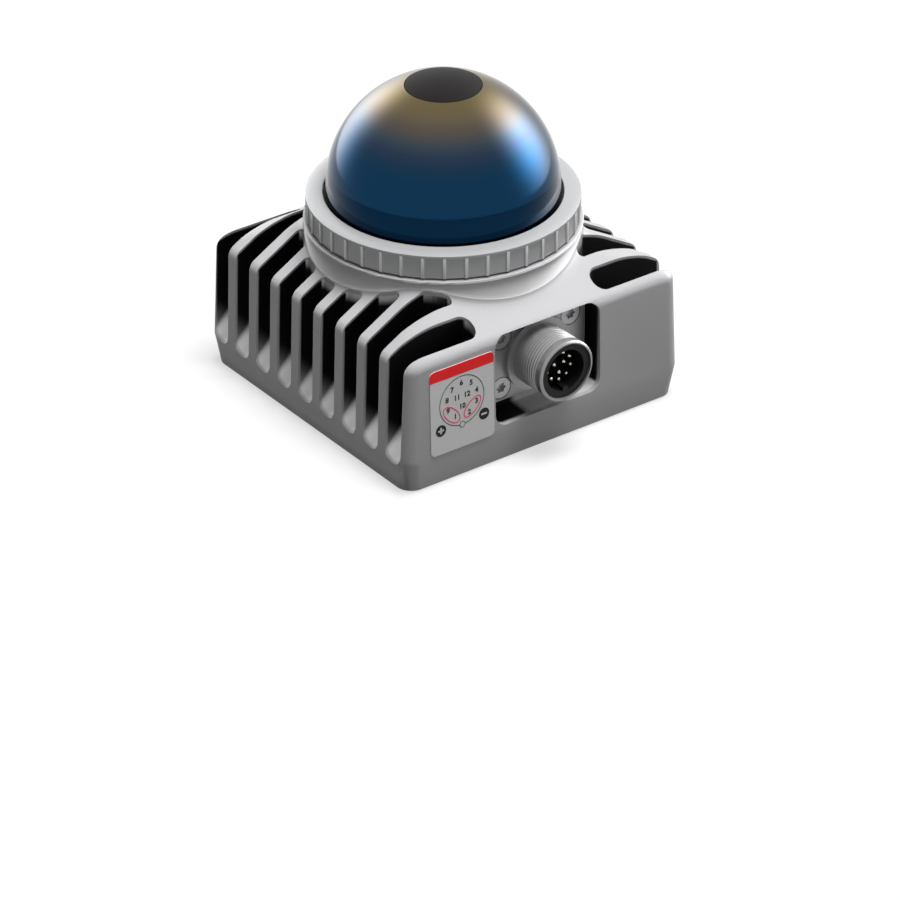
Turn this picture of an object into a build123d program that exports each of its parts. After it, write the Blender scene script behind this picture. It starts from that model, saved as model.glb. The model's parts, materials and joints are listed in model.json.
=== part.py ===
from build123d import *
import math
import os

os.makedirs("parts", exist_ok=True)

# A square die-cast lidar sensor. +Z is up, the origin is the middle of the underside,
# and the round threaded inlet faces -Y. All sizes are in millimetres.

# Body
body_width = 63.0
foot_taper = 0.8
wall_taper = 0.6
belt_height = 6.0
hip_rise = 8.4
hip_angle = 29.5
corner_radius = 3.0
hip_radius = 7.0
eave_radius = 2.6
neck_radius = 25.4
neck_rim_step = 0.35
neck_rim_height = 0.45
neck_height = 33.9
neck_blend = 1.5

# Cooling slots
slot_count = 9
slot_margin = 4.3
slot_width = 4.5
slot_foot = 5.0
slot_ramp_angle = 49.0
slot_deck = 12.0
slot_core_gap = 0.3
slot_end_radius = 0.9
end_slot_reach = 13.5

# Cavity of the body
base_wall = 2.1
base_pocket_radius = 4.0
base_plate_thickness = 2.6
seal_ledge = 1.6
chamber_top = 6.5
collar_wall = 1.4
ledge_width = 1.2
ledge_drop = 9.7
seal_width = 0.9
seal_height = 0.8
fit_gap = 0.1
thread_gap = 0.05
over_cut = 1.0

# Inlet on the front face
inlet_x = 0.5
inlet_drop = 6.6
inlet_wall = 4.1
thread_radius = 6.0
collar_radius = 7.2
collar_length = 1.0
inlet_reach = 9.3
flange_width = 22.4
flange_height = 15.4
flange_thickness = 1.6
gasket_thickness = 0.4
gasket_margin = 0.5
recess_width = 23.9
recess_below = 10.2
recess_above = 8.0
recess_radius = 2.6
inlet_screw_dx = 15.7
inlet_screw_dz = 10.2
inlet_screw_head = 2.1
inlet_screw_shank = 1.0
inlet_screw_length = 4.4
screw_head_height = 1.1
screw_drive_depth = 0.75
screw_tip_gap = 0.4
screw_lobe_circle = 0.75
screw_lobe_radius = 0.28
insert_radius = 5.4
insert_wall = 1.3
socket_depth = 5.7
socket_key_width = 1.2
socket_key_height = 0.8
insert_inset = 0.4
insert_seat_depth = 6.8
insert_neck_radius = 4.8
insert_tail_gap = 1.2
inlet_wall_depth = 3.2
pin_radius = 0.35
pin_inset = 2.2
pin_ring_radius = 2.75
pin_core_radius = 1.25
pin_ring_count = 9
pin_core_count = 3

# Dome and its ring
dome_wall = 1.6
dome_shoulder = 2.72
dome_flange_width = 2.02
dome_flange_gap = 0.4
dome_flange_thickness = 1.4
collar_rise = 1.5
dome_gasket_thickness = 0.6
ring_step = 0.1
ring_wall = 1.3
ring_lift = 0.4
ring_height = 4.95
ring_eye_gap = 0.77
ring_bevel_width = 1.25
ring_bevel_height = 0.9
ring_edge = 0.25
ring_scallops = 40
ring_scallop_depth = 0.35
ring_scallop_width = 3.4
ring_scallop_turn = 1.0
cap_radius = 7.15
cap_thickness = 0.35

# Label on the front face
label_width = 14.2
label_height = 17.2
label_thickness = 0.15
label_corner = 1.0
label_gap = 0.4
label_drop = 2.7

# Mounting holes and screws of the underside
mount_side_margin = 4.0
mount_end_margin = 9.0
mount_hole_radius = 1.5
mount_hole_depth = 5.0
mount_boss_radius = 3.2
mount_boss_top = 6.2
base_screw_margin = 2.6
base_screw_head = 2.3
base_screw_shank = 1.2
base_screw_length = 5.6
base_screw_boss = 2.9

# Boards
board_edge_gap = 0.6
board_flat_gap = 0.4
board_thickness = 1.4
board_headroom = 4.2
power_board_z = 8.5
board_post_margin = 8.3
board_post_radius = 2.3
board_screw_radius = 1.2
board_screw_head = 2.2
board_screw_tip_gap = 1.4
board_stud_length = 4.2
spacer_floor = 1.9
chip_width = 14.0
chip_thickness = 2.0
pad_thickness = 1.5
inlet_board_setback = 6.1
inlet_board_width = 14.0
inlet_board_height = 11.4
inlet_board_thickness = 1.2

# Motor under the dome
mount_plate_thickness = 2.0
mount_lug_radius = 2.6
mount_lug_inset = 2.3
mount_lug_height = 4.0
lug_floor = 0.6
mount_screw_shank = 1.0
mount_screw_head = 1.7
mount_screw_grip = 2.4
tube_radius = 5.0
tube_length = 10.8
tube_step = 0.8
bearing_radius = 4.0
bearing_height = 2.5
bearing_shoulder = 0.8
bearing_race = 0.5
bearing_dish = 0.2
bearing_inset = 0.5
shaft_radius = 2.0
shaft_drop = 1.4
shaft_end_gap = 0.7
shaft_collar = 1.0
shaft_collar_gap = 0.5
running_gap = 0.04
stator_radius = 10.5
stator_lift = 2.0
stator_height = 4.2
stator_teeth = 9
tooth_width = 2.2
tooth_tip_width = 5.0
tooth_tip_thickness = 1.0
yoke_radius = 6.4
coil_width = 4.0
coil_height = 5.4
coil_length = 2.4
coil_bend = 0.5
magnet_inner_radius = 11.1
magnet_radius = 12.4
bell_wall = 1.2
bell_overhang = 0.6
bell_roof_gap = 0.6
bell_roof_thickness = 1.5
bell_flange_gap = 1.7
bell_flange_lift = 2.4
bell_flange_thickness = 0.8
power_coil_gap = 1.2
power_coil_thickness = 1.4
encoder_disc_thickness = 0.5
encoder_gap = 0.7
encoder_wall_gap = 0.6
encoder_post_thickness = 2.0
encoder_width = 6.0
encoder_nose_length = 3.5
encoder_nose_thickness = 1.6

# Optical head
head_disc_gap = 2.78
head_disc_thickness = 2.0
head_screw_circle = 9.5
head_screw_shank = 0.8
head_screw_head = 1.5
head_screw_height = 1.1
head_screw_grip = 1.1
cheek_offset = 10.0
cheek_thickness = 1.4
cheek_foot_width = 15.0
cheek_top_radius = 4.4
mirror_axis_rise = 9.3
mirror_width = 12.0
mirror_length = 15.0
mirror_edge = 0.4
mirror_shaft_radius = 1.0
mirror_bearing_radius = 2.6
mirror_motor_radius = 4.0
mirror_motor_length = 3.2
mirror_stator_length = 1.1
mirror_gap = 0.4
optics_y = 9.4
optics_length = 4.6
laser_x = -5.2
laser_radius = 2.7
receiver_x = 3.6
receiver_radius = 4.4
barrel_wall = 0.6
lens_thickness = 1.6
optics_drop = 2.0
optics_board_width = 15.6
optics_board_height = 10.4
optics_board_thickness = 1.0
weight_width = 4.9
weight_height = 2.6
weight_span = 88.0

# Outside of the body
foot_width = body_width - 2 * foot_taper
eave_width = body_width - 2 * wall_taper
eave_height = neck_height - hip_rise
half_belt = body_width / 2
half_eave = eave_width / 2
hip_slope = math.tan(math.radians(hip_angle))
hip_top_width = eave_width - 2 * hip_rise / hip_slope
front_tangent = (half_belt - half_eave) / (eave_height - belt_height)
neck_rim_radius = neck_radius + neck_rim_step
slot_pitch = (body_width - 2 * slot_margin) / (slot_count - 1)
slot_core_radius = neck_radius + slot_core_gap
slot_rows = [(row - (slot_count - 1) / 2) * slot_pitch for row in range(slot_count)]
slot_outside = half_belt + over_cut
slot_ramp_slope = math.tan(math.radians(slot_ramp_angle))
slot_top = neck_height + slot_width + over_cut

# Ring, dome and bores, from the outside inwards
ring_radius = neck_radius - ring_step
ring_foot = neck_height + ring_lift
ring_top = ring_foot + ring_height
collar_outer_radius = ring_radius - ring_wall
dome_flange_radius = collar_outer_radius - dome_flange_gap
dome_radius = dome_flange_radius - dome_flange_width
dome_inner_radius = dome_radius - dome_wall
ring_eye_radius = dome_radius + ring_eye_gap
ring_bevel_radius = ring_eye_radius + ring_bevel_width
gasket_z = neck_height + collar_rise
dome_flange_z = gasket_z + dome_gasket_thickness
dome_flange_top = dome_flange_z + dome_flange_thickness
dome_center_z = dome_flange_top + dome_shoulder
upper_bore_radius = collar_outer_radius - collar_wall
lower_bore_radius = upper_bore_radius - ledge_width
mount_ledge_height = neck_height - ledge_drop
base_pocket_width = foot_width - 2 * base_wall
chamber_width = base_pocket_width - 2 * seal_ledge
mount_dx = chamber_width - 2 * mount_side_margin
mount_dy = chamber_width - 2 * mount_end_margin
base_screw_offset = chamber_width / 2 - base_screw_margin

# Inlet and label
inlet_z = mount_ledge_height - inlet_drop
recess_back = lower_bore_radius + inlet_wall
recess_depth = half_belt - recess_back
recess_bottom = inlet_z - recess_below
recess_top = inlet_z + recess_above
flange_back = recess_back + gasket_thickness
flange_front = flange_back + flange_thickness
inlet_rim = flange_front + inlet_reach
inlet_board_y = recess_back - inlet_board_setback
insert_back = inlet_board_y + insert_tail_gap
label_x = inlet_x - recess_width / 2 - label_gap - label_width / 2
label_z = inlet_z - label_drop

# Boards
board_radius = lower_bore_radius - board_edge_gap
board_flat = inlet_board_y - 2 * inlet_board_thickness - board_flat_gap
board_post_offset = board_radius - board_post_margin
main_board_z = mount_ledge_height - mount_lug_height - board_headroom
spacer_length = main_board_z - power_board_z - board_thickness
spacer_hole_depth = spacer_length - spacer_floor
board_screw_length = board_thickness + spacer_hole_depth - board_screw_tip_gap

# Motor and head, from the ledge upwards
mount_plate_top = mount_ledge_height + mount_plate_thickness
mount_lug_circle = upper_bore_radius - mount_lug_inset
tube_top = mount_ledge_height + tube_length
bearing_seat_foot = mount_ledge_height + bearing_inset
bearing_seat_top = tube_top - bearing_inset
shaft_foot = mount_ledge_height - shaft_drop
stator_foot = mount_plate_top + stator_lift
bell_radius = magnet_radius + bell_wall
bell_foot = stator_foot - bell_overhang
bell_roof = tube_top + bell_roof_gap
bell_top = bell_roof + bell_roof_thickness
bell_flange_z = bell_foot + bell_flange_lift
encoder_post_outer = upper_bore_radius - encoder_wall_gap
encoder_post_inner = encoder_post_outer - encoder_post_thickness
encoder_nose_reach = encoder_post_inner - encoder_nose_length
bell_flange_radius = encoder_post_inner - bell_flange_gap
power_coil_inner = bell_radius + power_coil_gap
power_coil_outer = bell_flange_radius
head_disc_radius = dome_inner_radius - head_disc_gap
head_disc_top = bell_top + head_disc_thickness
shaft_top = head_disc_top - shaft_end_gap
mirror_axis_z = head_disc_top + mirror_axis_rise
optics_z = mirror_axis_z - optics_drop
weight_outer_radius = head_disc_radius - fit_gap
weight_inner_radius = weight_outer_radius - weight_width

# Planes and places
inlet_plane = Plane(origin=(inlet_x, 0, inlet_z), x_dir=(1, 0, 0), z_dir=(0, -1, 0))
inlet_screw_places = [
    (side * inlet_screw_dx / 2, level * inlet_screw_dz / 2) for side in (-1, 1) for level in (-1, 1)
]
base_screw_places = [
    (base_screw_offset, 0),
    (-base_screw_offset, 0),
    (0, base_screw_offset),
    (0, -base_screw_offset),
]


def polar_point(radius, turn):
    """Point of the dome's section at a turn above the level, in degrees."""
    angle = math.radians(turn)
    return radius * math.cos(angle), dome_center_z + radius * math.sin(angle)


board_post_places = [
    (side * board_post_offset, depth * board_post_offset) for side in (-1, 1) for depth in (-1, 1)
]

# Cutter for the nine slots of the +X side: rounded troughs with a ramped floor,
# ended by the circle of the neck
with BuildPart() as slot_cutter:
    trough_length = slot_top - slot_foot
    ramp_drop = (slot_outside - half_belt) * slot_ramp_slope
    with BuildSketch(Plane.YZ.offset(slot_outside)):
        for slot_y in slot_rows:
            with Locations((slot_y, slot_foot - ramp_drop + trough_length / 2)):
                SlotOverall(trough_length, slot_width, rotation=90)
    ramp_way = Vector(-1, 0, slot_ramp_slope)
    extrude(amount=slot_outside * ramp_way.length, dir=ramp_way.normalized())
    with BuildSketch(Plane.YZ.offset(slot_outside)):
        for slot_y in slot_rows:
            with Locations((slot_y, slot_deck + trough_length / 2)):
                SlotOverall(trough_length, slot_width, rotation=90)
    extrude(amount=-slot_outside)
    with BuildSketch() as slot_plan:
        for slot_y in slot_rows:
            is_end = abs(slot_y) + slot_width / 2 > slot_core_radius
            slot_start = end_slot_reach if is_end else 1.0
            with Locations(((slot_outside + slot_start) / 2, slot_y)):
                Rectangle(slot_outside - slot_start, slot_width)
        Circle(slot_core_radius, mode=Mode.SUBTRACT)
        slot_corners = slot_plan.vertices().filter_by_position(Axis.X, 0, slot_core_radius + fit_gap)
        end_corners = [v for v in slot_corners if abs(v.Y) > slot_core_radius - slot_width / 2]
        fillet([v for v in slot_corners if v not in end_corners], slot_end_radius)
        fillet(end_corners, slot_width / 2 - fit_gap)
    extrude(amount=slot_top, mode=Mode.INTERSECT)

# Die-cast body
with BuildPart() as housing:
    with BuildSketch():
        RectangleRounded(foot_width, foot_width, corner_radius)
    with BuildSketch(Plane.XY.offset(belt_height)):
        RectangleRounded(body_width, body_width, corner_radius)
    loft(ruled=True)
    with BuildSketch(Plane.XY.offset(belt_height)):
        RectangleRounded(body_width, body_width, corner_radius)
    with BuildSketch(Plane.XY.offset(eave_height)):
        RectangleRounded(eave_width, eave_width, corner_radius)
    loft(ruled=True)
    with BuildSketch(Plane.XY.offset(eave_height)):
        RectangleRounded(eave_width, eave_width, corner_radius)
    with BuildSketch(Plane.XY.offset(neck_height)):
        RectangleRounded(hip_top_width, hip_top_width, hip_radius)
    loft(ruled=True)
    eaves = housing.edges().filter_by_position(Axis.Z, eave_height - 0.01, eave_height + 0.01)
    fillet(eaves, eave_radius)
    with BuildSketch(Plane.XY.offset(belt_height)):
        Circle(neck_radius)
    extrude(amount=neck_height - belt_height)
    neck_foot = housing.edges().filter_by_position(Axis.Z, eave_height, neck_height - 0.1)
    neck_foot = [
        edge
        for edge in neck_foot
        if all(abs(math.hypot(v.X, v.Y) - neck_radius) < 0.01 for v in edge.vertices())
        and edge.geom_type != GeomType.LINE
    ]
    fillet(neck_foot, neck_blend)
    with BuildSketch(Plane.XY.offset(neck_height - neck_rim_height)):
        Circle(neck_rim_radius)
    extrude(amount=neck_rim_height)
    with BuildSketch(Plane.XY.offset(neck_height)):
        Circle(collar_outer_radius)
    extrude(amount=collar_rise)
    # inside: pocket for the base plate, chamber, bores and lugs
    with BuildSketch():
        RectangleRounded(base_pocket_width, base_pocket_width, base_pocket_radius)
    extrude(amount=base_plate_thickness, mode=Mode.SUBTRACT)
    with BuildSketch(Plane.XY.offset(base_plate_thickness)):
        RectangleRounded(chamber_width, chamber_width, base_pocket_radius)
        with Locations(base_screw_places):
            Circle(base_screw_boss, mode=Mode.SUBTRACT)
    extrude(amount=chamber_top - base_plate_thickness, mode=Mode.SUBTRACT)
    with BuildSketch(Plane.XY.offset(base_plate_thickness)):
        seal_outer = chamber_width + 2 * (seal_width + 2 * fit_gap)
        RectangleRounded(seal_outer, seal_outer, base_pocket_radius)
        RectangleRounded(
            chamber_width + 2 * fit_gap,
            chamber_width + 2 * fit_gap,
            base_pocket_radius,
            mode=Mode.SUBTRACT,
        )
    extrude(amount=seal_height, mode=Mode.SUBTRACT)
    with BuildSketch(Plane.XY.offset(chamber_top)):
        Circle(lower_bore_radius)
    extrude(amount=mount_ledge_height - chamber_top, mode=Mode.SUBTRACT)
    with BuildSketch(Plane.XY.offset(mount_ledge_height)):
        Circle(upper_bore_radius)
    extrude(amount=gasket_z - mount_ledge_height, mode=Mode.SUBTRACT)
    with BuildSketch(Plane.XY.offset(mount_ledge_height)):
        with PolarLocations(mount_lug_circle, 3, start_angle=90):
            Circle(mount_lug_radius)
    extrude(amount=-mount_lug_height)
    with BuildSketch(Plane.XY.offset(mount_ledge_height)):
        with PolarLocations(mount_lug_circle, 3, start_angle=90):
            Circle(mount_screw_shank + thread_gap)
    extrude(amount=-mount_lug_height + lug_floor, mode=Mode.SUBTRACT)
    with BuildSketch(Plane.XY.offset(base_plate_thickness)):
        with Locations(base_screw_places):
            Circle(base_screw_shank + thread_gap)
    extrude(amount=base_screw_length - base_plate_thickness + screw_tip_gap, mode=Mode.SUBTRACT)
    # slots of both sides
    add(slot_cutter.part, mode=Mode.SUBTRACT)
    add(slot_cutter.part.mirror(Plane.YZ), mode=Mode.SUBTRACT)
    # recess of the inlet, its way through the wall and its screw holes
    with BuildSketch(inlet_plane.offset(recess_back)):
        with Locations((0, (recess_above - recess_below) / 2)):
            RectangleRounded(recess_width, recess_top - recess_bottom, recess_radius)
    extrude(amount=recess_depth + over_cut, mode=Mode.SUBTRACT)
    with BuildSketch(inlet_plane.offset(recess_back)):
        Circle(thread_radius + 3 * fit_gap)
    extrude(amount=-inlet_board_setback, mode=Mode.SUBTRACT)
    with BuildSketch(inlet_plane.offset(recess_back)):
        with Locations(inlet_screw_places):
            Circle(inlet_screw_shank + thread_gap)
    extrude(amount=-(inlet_screw_length - flange_thickness), mode=Mode.SUBTRACT)
housing.part.label = "housing"
export_step(housing.part, "parts/housing.step")

# Base plate with four threaded mounting bosses and a raised pad for the hot chip
with BuildPart() as base_plate:
    with BuildSketch():
        plate_width = base_pocket_width - 2 * fit_gap
        RectangleRounded(plate_width, plate_width, base_pocket_radius)
    extrude(amount=base_plate_thickness)
    with BuildSketch(Plane.XY.offset(base_plate_thickness)):
        with GridLocations(mount_dx, mount_dy, 2, 2):
            Circle(mount_boss_radius)
    extrude(amount=mount_boss_top - base_plate_thickness)
    with BuildSketch(Plane.XY.offset(base_plate_thickness)):
        Rectangle(chip_width + 2, chip_width + 2)
    extrude(amount=power_board_z - chip_thickness - pad_thickness - base_plate_thickness)
    with BuildSketch():
        with GridLocations(mount_dx, mount_dy, 2, 2):
            Circle(mount_hole_radius)
    extrude(amount=mount_hole_depth, mode=Mode.SUBTRACT)
    with Locations(*[Location((x, y, 0), (180, 0, 0)) for x, y in base_screw_places]):
        CounterSinkHole(base_screw_shank + thread_gap, base_screw_head + thread_gap, base_plate_thickness)
base_plate.part.label = "base_plate"
export_step(base_plate.part, "parts/base_plate.step")

# Flat-head screws of the base plate, heads down and flush with the underside
with BuildPart() as base_screw:
    with BuildSketch(Plane.XZ):
        with BuildLine():
            Polyline(
                (0, 0),
                (base_screw_head, 0),
                (base_screw_shank, base_screw_head - base_screw_shank),
                (base_screw_shank, base_screw_length),
                (0, base_screw_length),
                close=True,
            )
        make_face()
    revolve(axis=Axis.Z)
    with BuildSketch():
        RegularPolygon(base_screw_head / 2, 6)
    extrude(amount=screw_drive_depth, mode=Mode.SUBTRACT)
with BuildPart() as base_screws:
    with Locations(base_screw_places):
        add(base_screw.part)
base_screws.part.label = "base_screws"
export_step(base_screws.part, "parts/base_screws.step")

# Square seal in the groove above the base plate
with BuildPart() as base_seal:
    with BuildSketch(Plane.XY.offset(base_plate_thickness)):
        seal_inner = chamber_width + 3 * fit_gap
        seal_outer = chamber_width + 2 * seal_width + 3 * fit_gap
        RectangleRounded(seal_outer, seal_outer, base_pocket_radius)
        RectangleRounded(seal_inner, seal_inner, base_pocket_radius, mode=Mode.SUBTRACT)
    extrude(amount=seal_height)
base_seal.part.label = "base_seal"
export_step(base_seal.part, "parts/base_seal.step")

# Threaded round inlet: flange, collar, threaded barrel and the rear barrel in the wall
with BuildPart() as connector_shell:
    with BuildSketch(inlet_plane.offset(flange_back)):
        RectangleRounded(flange_width, flange_height, inlet_screw_head)
    extrude(amount=flange_thickness)
    with BuildSketch(inlet_plane.offset(flange_front)):
        Circle(collar_radius)
    extrude(amount=collar_length)
    with BuildSketch(inlet_plane.offset(flange_front)):
        Circle(thread_radius)
    extrude(amount=inlet_reach)
    rim = connector_shell.faces().sort_by(Axis.Y)[0].edges()
    chamfer(rim, (thread_radius - insert_radius) / 2)
    with BuildSketch(inlet_plane.offset(flange_back)):
        Circle(thread_radius + fit_gap)
    extrude(amount=-(gasket_thickness + inlet_wall_depth))
    with BuildSketch(inlet_plane.offset(inlet_rim)):
        Circle(insert_radius + thread_gap)
    extrude(amount=-insert_seat_depth, mode=Mode.SUBTRACT)
    with BuildSketch(inlet_plane.offset(inlet_rim)):
        Circle(insert_neck_radius + thread_gap)
    extrude(amount=-(inlet_rim - inlet_board_y), mode=Mode.SUBTRACT)
    with BuildSketch(inlet_plane.offset(flange_front)):
        with Locations(inlet_screw_places):
            Circle(inlet_screw_head + thread_gap)
    extrude(amount=-screw_head_height, mode=Mode.SUBTRACT)
    with BuildSketch(inlet_plane.offset(flange_front)):
        with Locations(inlet_screw_places):
            Circle(inlet_screw_shank + thread_gap)
    extrude(amount=-flange_thickness, mode=Mode.SUBTRACT)
connector_shell.part.label = "connector_shell"
export_step(connector_shell.part, "parts/connector_shell.step")

# Thin gasket between the inlet's flange and the recess
with BuildPart() as connector_gasket:
    with BuildSketch(inlet_plane.offset(recess_back)):
        RectangleRounded(
            flange_width - 2 * gasket_margin, flange_height - 2 * gasket_margin, inlet_screw_head
        )
        Circle(thread_radius + 2 * fit_gap, mode=Mode.SUBTRACT)
        with Locations(inlet_screw_places):
            Circle(inlet_screw_shank + thread_gap, mode=Mode.SUBTRACT)
    extrude(amount=gasket_thickness)
connector_gasket.part.label = "connector_gasket"
export_step(connector_gasket.part, "parts/connector_gasket.step")

# Flat heads with a six-lobe drive, flush in the flange
with BuildPart() as connector_screws:
    with BuildSketch(inlet_plane.offset(flange_front)):
        with Locations(inlet_screw_places):
            Circle(inlet_screw_head)
    extrude(amount=-screw_head_height + thread_gap)
    with BuildSketch(inlet_plane.offset(flange_front)):
        with Locations(inlet_screw_places):
            Circle(inlet_screw_shank)
    extrude(amount=-inlet_screw_length)
    with BuildSketch(inlet_plane.offset(flange_front)):
        for place in inlet_screw_places:
            with Locations(place):
                Circle(screw_lobe_circle)
                with PolarLocations(screw_lobe_circle, 6):
                    Circle(screw_lobe_radius)
    extrude(amount=-screw_drive_depth, mode=Mode.SUBTRACT)
connector_screws.part.label = "connector_screws"
export_step(connector_screws.part, "parts/connector_screws.step")

# Black insulator with its socket and key
pin_places = [
    (radius * math.cos(turn), radius * math.sin(turn))
    for radius, count in ((pin_ring_radius, pin_ring_count), (pin_core_radius, pin_core_count))
    for turn in [math.pi / 2 + 2 * math.pi * (step + 0.5) / count for step in range(count)]
]
with BuildPart() as connector_insert:
    with BuildSketch(inlet_plane.offset(inlet_rim - insert_inset)):
        Circle(insert_radius)
    extrude(amount=-(insert_seat_depth - insert_inset))
    with BuildSketch(inlet_plane.offset(inlet_rim - insert_inset)):
        Circle(insert_neck_radius)
    extrude(amount=-(inlet_rim - insert_inset - insert_back))
    with BuildSketch(inlet_plane.offset(inlet_rim - insert_inset)):
        Circle(insert_radius - insert_wall)
        with Locations((0, -(insert_radius - insert_wall))):
            Rectangle(socket_key_width, 2 * socket_key_height, mode=Mode.SUBTRACT)
    extrude(amount=-socket_depth, mode=Mode.SUBTRACT)
    with BuildSketch(inlet_plane.offset(insert_back)):
        with Locations(pin_places):
            Circle(pin_radius)
    extrude(amount=inlet_rim - insert_back, mode=Mode.SUBTRACT)
connector_insert.part.label = "connector_insert"
export_step(connector_insert.part, "parts/connector_insert.step")

with BuildPart() as connector_pins:
    with BuildSketch(inlet_plane.offset(inlet_board_y)):
        with Locations(pin_places):
            Circle(pin_radius)
    extrude(amount=inlet_rim - pin_inset - inlet_board_y)
    tips = connector_pins.faces().filter_by_position(Axis.Y, -inlet_rim, -inlet_rim + pin_inset + 0.01)
    chamfer(tips.edges(), pin_radius / 2)
connector_pins.part.label = "connector_pins"
export_step(connector_pins.part, "parts/connector_pins.step")

# Small upright board behind the inlet, soldered to the pins
with BuildPart() as connector_board:
    with BuildSketch(inlet_plane.offset(inlet_board_y)):
        Rectangle(inlet_board_width, inlet_board_height)
    extrude(amount=-inlet_board_thickness)
    with BuildSketch(inlet_plane.offset(inlet_board_y - inlet_board_thickness)):
        with Locations((0, -inlet_board_height / 4)):
            Rectangle(inlet_board_width / 2, inlet_board_height / 4)
    extrude(amount=-inlet_board_thickness)
connector_board.part.label = "connector_board"
export_step(connector_board.part, "parts/connector_board.step")

# Label on the leaning front face
label_rise = label_z - belt_height
label_plane = Plane(
    origin=(label_x, -(half_belt - label_rise * front_tangent), label_z),
    x_dir=(1, 0, 0),
    z_dir=(0, -1, front_tangent),
)
with BuildPart() as pinout_label:
    with BuildSketch(label_plane):
        RectangleRounded(label_width, label_height, label_corner)
    extrude(amount=label_thickness)
pinout_label.part.label = "pinout_label"
export_step(pinout_label.part, "parts/pinout_label.step")

# Dome with its flange, and the pocket of the disc on top
with BuildPart() as dome:
    with BuildSketch(Plane.XZ):
        with BuildLine():
            CenterArc((0, dome_center_z), dome_radius, 0, 90)
            Line((0, dome_center_z + dome_radius), (0, dome_center_z + dome_inner_radius))
            CenterArc((0, dome_center_z), dome_inner_radius, 0, 90)
            Polyline(
                (dome_inner_radius, dome_center_z),
                (dome_inner_radius, dome_flange_z),
                (dome_flange_radius, dome_flange_z),
                (dome_flange_radius, dome_flange_top),
                (dome_radius, dome_flange_top),
                (dome_radius, dome_center_z),
            )
        make_face()
    revolve(axis=Axis.Z)
    with BuildSketch(Plane.XZ):
        with BuildLine():
            cap_turn = math.degrees(math.asin(cap_radius / dome_radius))
            CenterArc((0, dome_center_z), dome_radius + over_cut, 90 - cap_turn, cap_turn)
            CenterArc((0, dome_center_z), dome_radius - cap_thickness, 90 - cap_turn, cap_turn)
            Line(
                (0, dome_center_z + dome_radius + over_cut),
                (0, dome_center_z + dome_radius - cap_thickness),
            )
            Line(
                polar_point(dome_radius + over_cut, 90 - cap_turn),
                polar_point(dome_radius - cap_thickness, 90 - cap_turn),
            )
        make_face()
    revolve(axis=Axis.Z, mode=Mode.SUBTRACT)
dome.part.label = "dome"
export_step(dome.part, "parts/dome.step")

# Matt disc let into the top of the dome
with BuildPart() as dome_cap:
    with BuildSketch(Plane.XZ):
        with BuildLine():
            CenterArc((0, dome_center_z), dome_radius, 90 - cap_turn, cap_turn)
            CenterArc((0, dome_center_z), dome_radius - cap_thickness, 90 - cap_turn, cap_turn)
            Line((0, dome_center_z + dome_radius), (0, dome_center_z + dome_radius - cap_thickness))
            Line(
                polar_point(dome_radius, 90 - cap_turn),
                polar_point(dome_radius - cap_thickness, 90 - cap_turn),
            )
        make_face()
    revolve(axis=Axis.Z)
dome_cap.part.label = "dome_cap"
export_step(dome_cap.part, "parts/dome_cap.step")

# Gasket under the dome's flange, on the collar of the neck
with BuildPart() as dome_gasket:
    with BuildSketch(Plane.XY.offset(gasket_z)):
        Circle(dome_flange_radius - fit_gap)
        Circle(upper_bore_radius + fit_gap, mode=Mode.SUBTRACT)
    extrude(amount=dome_gasket_thickness)
dome_gasket.part.label = "dome_gasket"
export_step(dome_gasket.part, "parts/dome_gasket.step")

# Seal between the dome and the lip of the ring
with BuildPart() as dome_seal:
    with BuildSketch(Plane.XY.offset(dome_flange_top)):
        Circle(ring_eye_radius - thread_gap)
        Circle(dome_radius + thread_gap, mode=Mode.SUBTRACT)
    extrude(amount=ring_top - ring_bevel_height - dome_flange_top)
dome_seal.part.label = "dome_seal"
export_step(dome_seal.part, "parts/dome_seal.step")

# Scalloped retaining ring
with BuildPart() as dome_ring:
    with BuildSketch(Plane.XZ):
        with BuildLine():
            Polyline(
                (collar_outer_radius + thread_gap, ring_foot),
                (ring_radius, ring_foot),
                (ring_radius, ring_top - ring_edge),
                (ring_radius - ring_edge, ring_top),
                (ring_bevel_radius, ring_top),
                (ring_eye_radius, ring_top - ring_bevel_height),
                (ring_eye_radius, dome_flange_top),
                (collar_outer_radius + thread_gap, dome_flange_top),
                close=True,
            )
        make_face()
    revolve(axis=Axis.Z)
    half_scallop = ring_scallop_width / 2
    scallop_radius = (half_scallop**2 + ring_scallop_depth**2) / (2 * ring_scallop_depth)
    with BuildSketch(Plane.XY.offset(ring_foot)):
        scallop_circle = ring_radius - ring_scallop_depth + scallop_radius
        with PolarLocations(scallop_circle, ring_scallops, start_angle=ring_scallop_turn):
            Circle(scallop_radius)
    extrude(amount=ring_top - ring_foot, mode=Mode.SUBTRACT)
dome_ring.part.label = "dome_ring"
export_step(dome_ring.part, "parts/dome_ring.step")

# Round boards, each with a flat beside the inlet and a few parts on top
power_parts = [(8.5, 2.0, 7.0, 6.0, 2.4), (-9.0, 4.5, 5.0, 8.0, 2.0), (0.5, -11.0, 9.0, 5.0, 3.0)]
main_parts = [(0.0, 0.0, 12.0, 12.0, 1.6), (10.5, 0.5, 4.0, 9.0, 1.2), (-10.5, 0.0, 5.0, 5.0, 1.4)]
with BuildPart() as power_board:
    with BuildSketch(Plane.XY.offset(power_board_z)):
        Circle(board_radius)
        with Locations((0, -board_flat - board_radius / 2)):
            Rectangle(2 * board_radius, board_radius, mode=Mode.SUBTRACT)
        with Locations(board_post_places):
            Circle(board_screw_radius + thread_gap, mode=Mode.SUBTRACT)
    extrude(amount=board_thickness)
    for part_x, part_y, part_width, part_depth, part_height in power_parts:
        with BuildSketch(Plane.XY.offset(power_board_z + board_thickness)):
            with Locations((part_x, part_y)):
                Rectangle(part_width, part_depth)
        extrude(amount=part_height)
power_board.part.label = "power_board"
export_step(power_board.part, "parts/power_board.step")

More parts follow.
